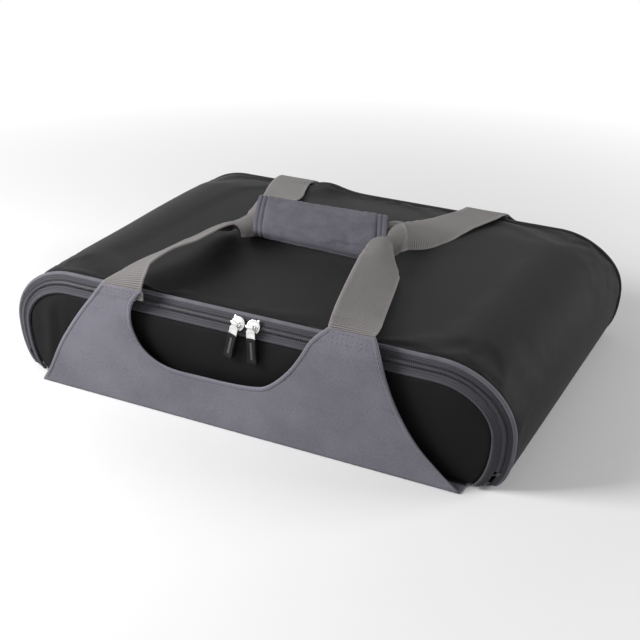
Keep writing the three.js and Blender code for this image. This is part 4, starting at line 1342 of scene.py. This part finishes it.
def strapTail(arm, side, slingSettings, settings):
    # the end of a strap that is sewn in behind the arm of its sling
    tail = []
    for z in settings["hidden"]:
        plane, height = slingPlane(arm[0] * side * -1, z, slingSettings)
        tail.append(np.array([arm[0], side * (plane - settings["hiddenDepth"]), height, *arm[3:6], 0]))
    return tail


def buildStrap(name, side, arms, end, slingSettings, settings):
    # rows from the left arm through the grip wrap to the right arm, with a hidden tail behind each arm
    left = [np.array(row, float) for row in arms[0]]
    right = [np.array(row, float) for row in reversed(arms[1])]
    inside, lift = settings[end + "Inside"], settings[end + "Lift"]
    across = wrapPlace(0, -1, 0) - wrapPlace(0, 0, 0)
    across *= np.sign(np.dot(across, left[-1][3:6]))
    middle = [np.array([*wrapPlace(u, v, lift), *across, curl]) for u, v, curl in inside]
    if np.dot(right[0][3:6], across) < 0:
        for row in right:
            row[3:6] *= -1
    leftTail, rightTail = (strapTail(arm, side, slingSettings, settings) for arm in (left[0], right[-1]))
    rows = leftTail + left + middle + right + rightTail[::-1]
    spans = len(rows) - 1
    centres = [row[:3] for row in rows]
    rings = []
    for k in range(spans * settings["steps"] + 1):
        t = k / settings["steps"]
        i = min(int(t), spans - 1)
        share = t - i
        mixed = rows[i] + (rows[i + 1] - rows[i]) * share
        point = curvePoint(centres, t)
        along = unit(curvePoint(centres, min(t + 0.01, spans)) - curvePoint(centres, max(t - 0.01, 0)))
        width = unit(mixed[3:6] - along * np.dot(along, mixed[3:6]))
        normal = np.cross(along, width)
        curl = rows[i][6] + (rows[i + 1][6] - rows[i][6]) * ease(share)
        rings.append([point + width * a - normal * b * side for a, b in strapSection(settings, curl)])
    piece = loftPiece(name, rings)
    # the selvage is each outermost point of both faces and the rim between them
    across = settings["across"]
    half = [1.0] + [0.0] * (across - 2) + [1.0] * 4
    paintEdge(piece, half * 2 * len(rings))
    return finishPiece(piece, strapWebbing, angle=50)


def buildStraps(settings):
    front = buildStrap("webbingFront", -1, (frontLeftStrap, frontRightStrap), "front", sling, settings)
    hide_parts("webbing_front")
    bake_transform(front)
    rear = buildStrap("webbingRear", 1, (rearLeftStrap, rearRightStrap), "rear", rearSling, settings)
    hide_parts("webbing_rear")
    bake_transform(rear)


buildStraps(strap)
print("stage: handles laid")

# profiles of the wrap are across it from front to back and out of it; the under ones run from the rear
wrapLook = {
    "under": [
        (-21.7, -0.4), (-21.9, -2.2), (-21.0, -3.9), (-18.5, -4.55), (-10, -4.6), (0, -4.6), (10, -4.6),
        (18.5, -4.55), (21.0, -3.9), (21.9, -2.2), (21.9, 0.4), (21.75, 1.9),
    ],
    "underIn": [
        (-20.6, -0.4), (-20.6, -1.6), (-20.2, -2.3), (-18, -2.55), (-10, -2.55), (0, -2.55), (10, -2.55),
        (18, -2.55), (20.2, -2.3), (20.6, -1.6), (20.6, 0.4), (20.6, 1.9),
    ],
    "over": [
        (21.8, 2.1), (22.1, 3.2), (21.4, 4.4), (19.5, 5.2), (16, 5.9), (11, 6.5), (5, 6.9), (-1, 7.0),
        (-7, 6.8), (-12.5, 6.3), (-17, 5.5), (-20.5, 4.4), (-23, 2.9), (-24.6, 1.1), (-25.3, -0.9),
        (-25.3, -2.9), (-25.0, -4.5),
    ],
    "overIn": [
        (20.6, 2.2), (20.4, 2.4), (19.5, 2.5), (18, 2.5), (15, 2.5), (10.5, 2.5), (5, 2.5), (-1, 2.5),
        (-7, 2.5), (-12.5, 2.5), (-17, 2.5), (-20.3, 2.45), (-22.3, 1.6), (-23.5, 0.2), (-24.1, -1.4),
        (-24.1, -2.9), (-24.1, -4.5),
    ],
    "ends": (0, 0.5, 1.2, 2.2, 3.4, 4.2, 4.8, 5.6, 7.0, 8.6, 9.2, 9.8, 11.5), "endReach": 15, "middle": 34,
    "pinches": ((9.2, 0.9, 1.1), (4.5, 0.7, 0.8)), "endDrop": 0.9, "dropReach": 11,
    "lip": 0.4, "lipReach": 0.4, "openShare": 0.12, "sewn": 10.5, "softRamp": (9, 10),
    "dents": 0.7, "dentSize": 16, "dentSquash": 1.6,
    "crease": 0.9, "creaseX": 26, "creaseLean": 0.1, "creaseWidth": 2.4, "creaseTop": 6, "creaseFade": 20,
    "creaseFront": -20, "creaseFrontShare": 0.4, "endHem": 4.2, "hemRise": 0.35, "hemFade": 0.8,
    "blendFrom": (21.7, 2.4), "blendTo": (15.0, 5.2), "tapeLow": -4.4, "tapeHigh": -0.5,
    "seams": ((-1, 2.2, 0.75), (-1, 5.6, 1.0), (1, 2.4, 0.75), (1, 5.8, 1.0)),
    "cloth": {"pressure": 1.2, "slack": 0.02, "stiffness": 15, "bending": 0.05, "frames": 12, "cap": 1.0},
}


# name, its two faces' places across the wrap, node and body
wrapTapes = (
    ("wrapLoopTape", -22.7, -22.0, "wrap_loop_strip", "rear_handle"),
    ("wrapHookTape", -23.7, -23.0, "wrap_hook_strip", "wrap_flap"),
)


def sewnProfile(us, settings):
    # the cover before it is padded, drawn in at its two hems at both ends
    half = wrap["length"] / 2
    profile = smoothLine(settings["over"], 3)
    normals = sideNormals(np.gradient(profile, axis=0))
    opening = [ease(c / (len(profile) - 1) / settings["openShare"]) for c in range(len(profile))]
    flat = np.zeros((len(us), len(profile), 3))
    for r, u in enumerate(us):
        d = half - abs(u)
        pinch = sum(depth * peak(d, place, width) for place, width, depth in settings["pinches"])
        pinch += settings["endDrop"] * (1 - ease(d / settings["dropReach"]))
        pinch += settings["lip"] * math.exp(-d / settings["lipReach"])
        for c, (v, w) in enumerate(profile):
            inward = pinch * opening[c]
            flat[r, c] = (u, v - normals[c, 0] * inward, w - normals[c, 1] * inward)
    return flat


def creasedCover(us, settled, settings):
    # dents and one crease in the padded cover, and its raised hems
    half = wrap["length"] / 2
    outer = np.zeros_like(settled)
    for r, u in enumerate(us):
        d = half - abs(u)
        soft = ramp(d, settings["softRamp"])
        hem = settings["hemRise"] * ease((settings["endHem"] - d) / settings["hemFade"])
        hem *= 1 - math.exp(-d / settings["lipReach"])
        for c in range(settled.shape[1]):
            x, v, w = settled[r, c]
            share = c / (settled.shape[1] - 1)
            dent = ripple((u, v * settings["dentSquash"], 0), settings["dentSize"], 5.0)
            dent *= settings["dents"] * soft * ease(share / 0.1)
            line = settings["creaseX"] - v * settings["creaseLean"]
            crease = settings["crease"] * peak(u, line, settings["creaseWidth"])
            crease *= ease((settings["creaseTop"] - v) / settings["creaseFade"]) * soft
            if v <= settings["creaseFront"]:
                crease *= settings["creaseFrontShare"]
            outer[r, c] = wrapPlace(x, v, w - max(0.0, dent) - crease + hem)
    return outer


def wrapSkin(us, profile):
    return [[wrapPlace(u, v, w) for v, w in profile] for u in us]


def buildWrap(settings):
    # padded cover over the top with its lip at the front, and the sewn half underneath
    half = wrap["length"] / 2
    us = edgeRows(half, settings["ends"], settings["endReach"], settings["middle"])
    flat = sewnProfile(us, settings)
    pinned = np.zeros(flat.shape[:2], bool)
    pinned[:, :3] = True
    pinned[:, -2:] = True
    pinned |= ((half - np.abs(us)) < settings["sewn"])[:, None]
    settled = settleCloth(flat, False, pinned, settings["cloth"])
    inner = wrapSkin(us, smoothLine(settings["overIn"], 3))
    cover = twoSkins("wrapCover", creasedCover(us, settled, settings), inner, False)
    finishPiece(cover, wrapFabric, None, ("wrap_cover",))
    start, end = (wrapPlace(0, *settings[key]) * (0, mm, mm) for key in ("blendFrom", "blendTo"))
    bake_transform(cover)
    skins = [wrapSkin(us, smoothLine(settings[key], 3)) for key in ("under", "underIn")]
    under = twoSkins("wrapUnder", *skins, False)
    finishPiece(under, wrapFabric, "rear_handle", ("wrap_base",))
    heights = np.linspace(settings["tapeLow"], settings["tapeHigh"], 6)
    for name, near, far, node, body in wrapTapes:
        skins = [wrapSkin(us, [(v, w) for w in heights]) for v in (near, far)]
        strip = twoSkins(name, *skins, False)
        finishPiece(strip, hookLoop, body, (node,), angle=40)


buildWrap(wrapLook)
print("stage: grip wrap closed")

# metal and moulded parts are modelled in their own directions and then set in place; each axis is its
# way and a cylinder's turn to it
axes = {"X": ((1, 0, 0), (0, math.pi / 2, 0)), "Z": ((0, 0, 1), (0, 0, 0))}


def startCube(name, low, high):
    # a block between two corners in millimetres
    selectNone()
    middle = [(a + b) / 2 * mm for a, b in zip(low, high)]
    bpy.ops.mesh.primitive_cube_add(size=1, location=middle)
    piece = bpy.context.object
    piece.name = name
    piece.scale = [(b - a) * mm for a, b in zip(low, high)]
    bpy.ops.object.transform_apply(location=True, rotation=True, scale=True)
    return piece


def startDisc(name, radius, low, high, sides, axis="Z"):
    # a cylinder between two levels of an axis
    selectNone()
    way, turn = axes[axis]
    place = Vector(way) * (low + high) / 2 * mm
    bpy.ops.mesh.primitive_cylinder_add(
        vertices=sides, radius=radius * mm, depth=(high - low) * mm, location=place, rotation=turn)
    piece = bpy.context.object
    piece.name = name
    bpy.ops.object.transform_apply(location=True, rotation=True, scale=True)
    return piece


def openEdit(piece, kind, action):
    makeActive(piece)
    bpy.ops.object.mode_set(mode="EDIT")
    bpy.ops.mesh.select_mode(type=kind)
    bpy.ops.mesh.select_all(action=action)
    return bmesh.from_edit_mesh(piece.data)


def closeEdit():
    bpy.ops.object.mode_set(mode="OBJECT")


def pickFaces(piece, test):
    # edit mode with only the faces that pass the test, by middle in millimetres and by normal
    work = openEdit(piece, "FACE", "DESELECT")
    for face in work.faces:
        face.select = bool(test(face.calc_center_median() / mm, face.normal))
    work.select_flush(True)
    bmesh.update_edit_mesh(piece.data)


def pickPoints(piece, test):
    work = openEdit(piece, "VERT", "DESELECT")
    for vert in work.verts:
        vert.select = bool(test(vert.co / mm))
    work.select_flush(True)
    bmesh.update_edit_mesh(piece.data)


def scaleFaces(piece, test, value, centre):
    # the faces that pass the test, scaled about a centre in millimetres
    pickFaces(piece, test)
    bpy.ops.transform.resize(value=value, center_override=[c * mm for c in centre])
    closeEdit()


def stepFace(piece, test, insets):
    # a face inset and moved again and again, as for a rim, a dish or a boss
    pickFaces(piece, test)
    for inset, move in insets:
        bpy.ops.mesh.inset(thickness=inset * mm, depth=0)
        bpy.ops.transform.translate(value=[m * mm for m in move])
    closeEdit()


def sliceLevels(piece, levels):
    # cuts right through a block at each of these heights
    openEdit(piece, "FACE", "SELECT")
    for level in levels:
        bpy.ops.mesh.select_all(action="SELECT")
        bpy.ops.mesh.bisect(plane_co=(0, 0, level * mm), plane_no=(0, 0, 1))
    closeEdit()


def joinSolid(piece, others):
    # other solids are welded to the piece and go
    for other in others:
        applyModifier(piece, "BOOLEAN", {"object": other, "operation": "UNION", "solver": "EXACT"})
        bpy.data.objects.remove(other)
    return piece


def cutSolid(piece, cutter):
    applyModifier(piece, "BOOLEAN", {"object": cutter, "operation": "DIFFERENCE", "solver": "EXACT"})
    bpy.data.objects.remove(cutter)


def softenEdges(piece, width, segments, angle):
    settings = {
        "width": width * mm, "segments": segments, "limit_method": "ANGLE",
        "angle_limit": math.radians(angle), "harden_normals": False,
    }
    return applyModifier(piece, "BEVEL", settings)


def copyPiece(piece, name):
    other = piece.copy()
    other.data = piece.data.copy()
    other.name = name
    other.data.name = name
    bpy.context.collection.objects.link(other)
    return other


# a slider in its own directions: x along the zip, y up the band and z out of it, in millimetres;
# each ring is an inset and a move
slider = {
    "radius": 5.75, "sides": 56, "low": 0.3, "high": 1.6, "seat": 2.3, "crown": 7.9,
    "rings": (
        (0.55, (0, 0, 0.28)), (0.45, (0, 0, 0.06)), (0.5, (0, 0, -0.42)), (1.2, (0, 0, 0.12)),
        (0.9, (0, 0, 0.3)),
    ),
    "flangeLow": (-2.6, -3.9, -1.3), "flangeHigh": (2.6, -2.9, 0.9),
    "earX": 3.2, "earHalf": 1.2, "earFoot": 2.7, "earLength": 3.4, "earLow": 0.45, "earHigh": 1.5,
    "earTip": (0.5, 1, 0.8), "earTipX": 3.9, "earTipZ": 0.9,
    "postX": 3.55, "post": 1.3, "postSide": 1.7, "postSink": 0.3, "postOver": 0.9, "postCuts": (2.0, 3.6),
    "postFoot": (1.25, 1.6, 1), "postRound": 0.42,
    "pinHeight": 5.6, "pin": 0.7, "pinSides": 20, "pinPast": 0.28, "pinHead": -0.22, "pinTip": (0.25, 0.14),
    "round": 0.13,
}
# a pull hangs from its pin at zero; the grip's rows are shares of its width and of its length
pull = {
    "bore": 1.0, "knuckle": 1.85, "knuckleHalf": 2.6, "neck": 5.2, "wide": 7.4, "thick": 1.5,
    "sleeveThick": 1.35, "plateTop": -1.2, "shoulder": -2.7, "flare": 1.0, "sleeve": -9.3, "end": -16.8,
    "slack": 0.01,
    "rings": ((0.55, 0), (0.25, 0.2)), "boreOver": 1, "round": 0.14,
    "start": -9.0, "length": 23, "width": 9, "gripThick": 3.2, "gripRound": 0.9, "endFlat": 0.72,
    "side": [
        (0.72, 0), (0.88, 0.08), (0.92, 0.17), (0.86, 0.3), (0.82, 0.45), (0.84, 0.62), (0.94, 0.8),
        (0.97, 0.9), (0.86, 0.97), (0.5, 1),
    ],
    "panel": (2.2, 21), "panelHalf": 2.5, "panelRings": ((0.55, 0), (0.3, 0.28)),
    "rib": 0.85, "ribSink": 0.16, "ribDeep": 0.5, "ribLow": -27.6, "ribHigh": -12.6, "ribFoot": 1.3,
    "ribRound": 0.2,
}
# side, the place along the zip, the turn about the crown and the side of the ear
pullPlaces = (("Left", -0.6, 16.0, -1), ("Right", 12.8, -2.0, 1))


def sliderFrame(x):
    seat = bandPlace(0.5 - x / bandRun, toothMid, slider["seat"])
    lean = math.atan2(band["in"], band["out"])
    return Matrix.Translation(Vector(seat) * mm) @ Matrix.Rotation(lean, 4, "X")


def hangingFrame(x, yaw):
    turn = math.radians(yaw)
    pin = Vector(bandPlace(0.5 - x / bandRun, toothMid, slider["crown"])) * mm
    axle = Vector((math.cos(turn), -band["out"] * math.sin(turn), -band["in"] * math.sin(turn)))
    up = Vector((band["in"] * math.tan(turn), 0, 1)).normalized()
    place = Matrix((axle, up.cross(axle), up)).transposed().to_4x4()
    place.translation = pin
    return place


def sliderShape(name, yaw, side, settings):
    # round plate with a raised rim and boss, a flange, an ear and the crown's posts and pin
    plate = startDisc(name, settings["radius"], settings["low"], settings["high"], settings["sides"])
    stepFace(plate, lambda m, n: n.z > 0.9, settings["rings"])
    middle, half = side * settings["earX"], settings["earHalf"]
    foot, tip = settings["earFoot"], settings["earFoot"] + settings["earLength"]
    low, high = settings["earLow"], settings["earHigh"]
    ear = startCube("ear", (middle - half, foot, low), (middle + half, tip, high))
    tipCentre = (side * settings["earTipX"], 0, settings["earTipZ"])
    scaleFaces(ear, lambda m, n: n.y > 0.9, settings["earTip"], tipCentre)
    parts = [startCube("flange", settings["flangeLow"], settings["flangeHigh"]), ear]
    turn = Matrix.Rotation(-math.radians(yaw), 4, "Z")
    half = settings["post"] / 2
    deep = half * settings["postSide"]
    foot, tall = settings["low"] + settings["postSink"], settings["pinHeight"]
    for end in (-1, 1):
        x = end * settings["postX"]
        post = startCube("post", (x - half, -deep, foot), (x + half, deep, tall + settings["postOver"]))
        sliceLevels(post, settings["postCuts"])
        scaleFaces(post, lambda m, n: n.z < -0.9, settings["postFoot"], (x, 0, 0))
        softenEdges(post, settings["postRound"], 3, 50)
        post.data.transform(turn)
        parts.append(post)
    reach = settings["postX"] + half + settings["pinPast"]
    pin = startDisc("pin", settings["pin"], -reach, reach, settings["pinSides"], "X")
    inset, out = settings["pinTip"]
    for end in (-1, 1):
        rings = ((settings["pinHead"], (0, 0, 0)), (inset, (end * out, 0, 0)))
        stepFace(pin, lambda m, n: n.x * end > 0.9, rings)
    pin.data.transform(turn @ Matrix.Translation((0, 0, tall * mm)))
    parts.append(pin)
    return softenEdges(joinSolid(plate, parts), settings["round"], 2, 40)


def tabShape(name, settings):
    # knuckle bored for the pin, and a plate that widens to a crimped sleeve above the grip
    half = settings["knuckleHalf"]
    knuckle = startDisc(name, settings["knuckle"], -half, half, 32, "X")
    thick = settings["thick"] / 2
    neck = settings["neck"] / 2
    shoulder = settings["shoulder"]
    plate = startCube("plate", (-neck, -thick, settings["end"]), (neck, thick, settings["plateTop"]))
    sliceLevels(plate, (shoulder, shoulder - settings["flare"], settings["sleeve"]))
    slack = settings["slack"]
    low, high = settings["sleeve"] - slack, shoulder - settings["flare"] + slack
    pickPoints(plate, lambda p: low < p.z < high)
    wider = (settings["wide"] / settings["neck"], settings["sleeveThick"], 1)
    bpy.ops.transform.resize(value=wider, center_override=(0, 0, 0))
    closeEdit()
    for face in (-1, 1):
        rings = [(inset, (0, -face * deep, 0)) for inset, deep in settings["rings"]]
        stepFace(plate, lambda m, n: n.y * face > 0.95 and low < m.z < high, rings)
    joinSolid(knuckle, [plate])
    past = half + settings["boreOver"]
    cutSolid(knuckle, startDisc("bore", settings["bore"], -past, past, 32, "X"))
    return softenEdges(knuckle, settings["round"], 2, 40)


def gripShape(name, settings):
    # waisted rubber grip: a block cut at its levels, drawn in at each and rounded
    half, thick = settings["width"] / 2, settings["gripThick"] / 2
    top = settings["start"]
    low = top - settings["length"]
    grip = startCube(name, (-half, -thick, low), (half, thick, top))
    sliceLevels(grip, [top - share * settings["length"] for size, share in settings["side"][1:-1]])
    for size, share in settings["side"]:
        level = top - share * settings["length"]
        pickPoints(grip, lambda p: abs(p.z - level) < settings["slack"])
        flatness = 1.0 if 0.05 < share < 0.95 else settings["endFlat"]
        bpy.ops.transform.resize(value=(size, flatness, 1), center_override=(0, 0, 0))
        closeEdit()
    softenEdges(grip, settings["gripRound"], 3, 60)
    high, low = (top - drawn for drawn in settings["panel"])

    def inPanel(middle):
        return low < middle.z < high and abs(middle.x) < settings["panelHalf"]

    for face in (-1, 1):
        rings = [(inset, (0, -face * deep, 0)) for inset, deep in settings["panelRings"]]
        stepFace(grip, lambda m, n: n.y * face > 0.9 and inPanel(m), rings)
    return applyModifier(grip, "SUBSURF", {"levels": 2, "render_levels": 2})


def stripeShape(name, settings):
    # plain raised rib down the middle of the grip's two faces
    ribs = []
    for face in (-1, 1):
        y = face * (settings["gripThick"] / 2 - settings["ribSink"])
        near, far = sorted((y, y - face * settings["ribDeep"]))
        wide, low, high = settings["rib"], settings["ribLow"], settings["ribHigh"]
        rib = startCube("rib", (-wide, near, low), (wide, far, high))
        scaleFaces(rib, lambda m, n: n.z < -0.9, (settings["ribFoot"], 1, 1), (0, y, low))
        ribs.append(softenEdges(rib, settings["ribRound"], 2, 30))
    stripe = joinSolid(ribs[0], ribs[1:])
    stripe.name = name
    return stripe


def buildPulls():
    shapes = {"pullTabLeft": tabShape, "pullGripLeft": gripShape, "pullStripeLeft": stripeShape}
    left = [shape(name, pull) for name, shape in shapes.items()]
    right = [copyPiece(piece, piece.name.replace("Left", "Right")) for piece in left]
    for (side, x, yaw, away), trio in zip(pullPlaces, (left, right)):
        low = side.lower()
        body = sliderShape("slider" + side, yaw, away, slider)
        body.data.transform(sliderFrame(x))
        finishPiece(body, nickel, low + "_slider", ("slider_" + low,), angle=35)
        for piece in trio:
            piece.data.transform(hangingFrame(x, yaw))
        tab, grip, stripe = trio
        finishPiece(tab, nickel, low + "_pull", ("pull_tab_" + low,), angle=35)
        finishPiece(grip, gripRubber, low + "_pull", ("pull_grip_" + low,))
        finishPiece(stripe, stripeRubber, low + "_pull", angle=40)


buildPulls()
print("stage: sliders and pulls set")


def wrapStitches(settings):
    # two rows of stitches at each end of the cover
    half = wrap["length"] / 2
    profile = smoothLine(settings["over"], 6)
    normals = sideNormals(np.gradient(profile, axis=0))
    lines = []
    for end, inset, sink in settings["seams"]:
        u = end * (half - inset)
        sewn = range(14, len(profile) - 3)
        places = [wrapPlace(u, *(profile[k] - normals[k] * sink)) for k in sewn]
        outs = [wrapPlace(0, *normals[k]) - wrapPlace(0, 0, 0) for k in sewn]
        lines.append((places, outs))
    stitchRows("wrapStitches", lines, "wrap_flap")


keptNodes = {"base_board": boardPlastic, "zip_stop_left": coilNylon, "zip_stop_right": coilNylon}


def finishKeptNodes():
    # CAD nodes that stay as they are take their finish here
    for node, material in keptNodes.items():
        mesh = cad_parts[node].data
        mesh.materials.clear()
        mesh.materials.append(material)


wrapStitches(wrapLook)
finishKeptNodes()
print("stage: stitches and kept nodes finished")

# the floor fades to white between two distances in metres, and is duller for light that it throws back
room = {
    "size": 30.0, "tone": 0.93, "speckle": 0.01, "speckleSize": 40.0, "bounce": 0.5,
    "fadeFrom": 0.34, "fadeTo": 0.8, "ambient": 0.24, "lampTarget": (0, 0, 0.05),
}
lamps = (
    {"name": "key", "place": (-0.78, -0.62, 0.66), "size": 0.5, "power": 14.5},
    {"name": "fill", "place": (1.5, -0.7, 0.8), "size": 1.2, "power": 2.5},
    {"name": "rim", "place": (1.45, 0.75, 0.7), "size": 0.8, "power": 14.0},
)


def brightFor(shader):
    # 1 where the camera, a reflection or a glass ray looks
    path = shader.node("ShaderNodeLightPath")
    outputs = path.socket.node.outputs
    seen = Wire(shader, outputs["Is Camera Ray"])
    glossy = Wire(shader, outputs["Is Glossy Ray"])
    through = Wire(shader, outputs["Is Transmission Ray"])
    return shader.node("ShaderNodeClamp", {}, {0: seen + glossy + through})


def buildRoom(settings):
    selectNone()
    bpy.ops.mesh.primitive_plane_add(size=settings["size"], location=(0, 0, 0))
    floor = bpy.context.object
    floor.name = "floor"
    material, shader = newShader("pale floor")
    place = shader.objectPlace()
    reach = shader.node("ShaderNodeVectorMath", {"operation": "LENGTH"}, {0: place}, "Value")
    span = settings["fadeTo"] - settings["fadeFrom"]
    fade = shader.node("ShaderNodeClamp", {}, {0: (reach - settings["fadeFrom"]) / span})
    grain = shader.grain(place, settings["speckleSize"], 3.0, 0.5)
    white = (1, 1, 1)
    dark, light = shade(white, settings["tone"]), shade(white, settings["tone"] + settings["speckle"])
    matt = shader.node("ShaderNodeBsdfDiffuse", {}, {"Color": shader.between(grain, dark, light)})
    dull = shader.node("ShaderNodeBsdfDiffuse", {}, {"Color": shade(white, settings["bounce"])})
    bright = brightFor(shader)
    matt = shader.node("ShaderNodeMixShader", {}, {0: bright, 1: dull, 2: matt})
    glow = shader.node("ShaderNodeEmission", {}, {"Color": (1, 1, 1, 1), "Strength": 1.0})
    mixed = shader.node("ShaderNodeMixShader", {}, {0: fade * bright, 1: matt, 2: glow})
    shader.node("ShaderNodeOutputMaterial", {}, {"Surface": mixed})
    floor.data.materials.append(material)
    world = bpy.data.worlds.new("studio")
    world.use_nodes = True
    shader = Shader(world.node_tree)
    strength = brightFor(shader) * (1 - settings["ambient"]) + settings["ambient"]
    sky = shader.node("ShaderNodeBackground", {}, {"Color": (1, 1, 1, 1), "Strength": strength})
    shader.node("ShaderNodeOutputWorld", {}, {"Surface": sky})
    bpy.context.scene.world = world


def addLamp(settings):
    data = bpy.data.lights.new(settings["name"], "AREA")
    data.energy = settings["power"]
    data.size = settings["size"]
    lamp = bpy.data.objects.new(settings["name"], data)
    bpy.context.collection.objects.link(lamp)
    lamp.location = settings["place"]
    look = Vector(room["lampTarget"]) - Vector(settings["place"])
    lamp.rotation_euler = look.to_track_quat("-Z", "Y").to_euler()


buildRoom(room)
for lampSettings in lamps:
    addLamp(lampSettings)
bpy.context.scene.view_settings.view_transform = "Standard"
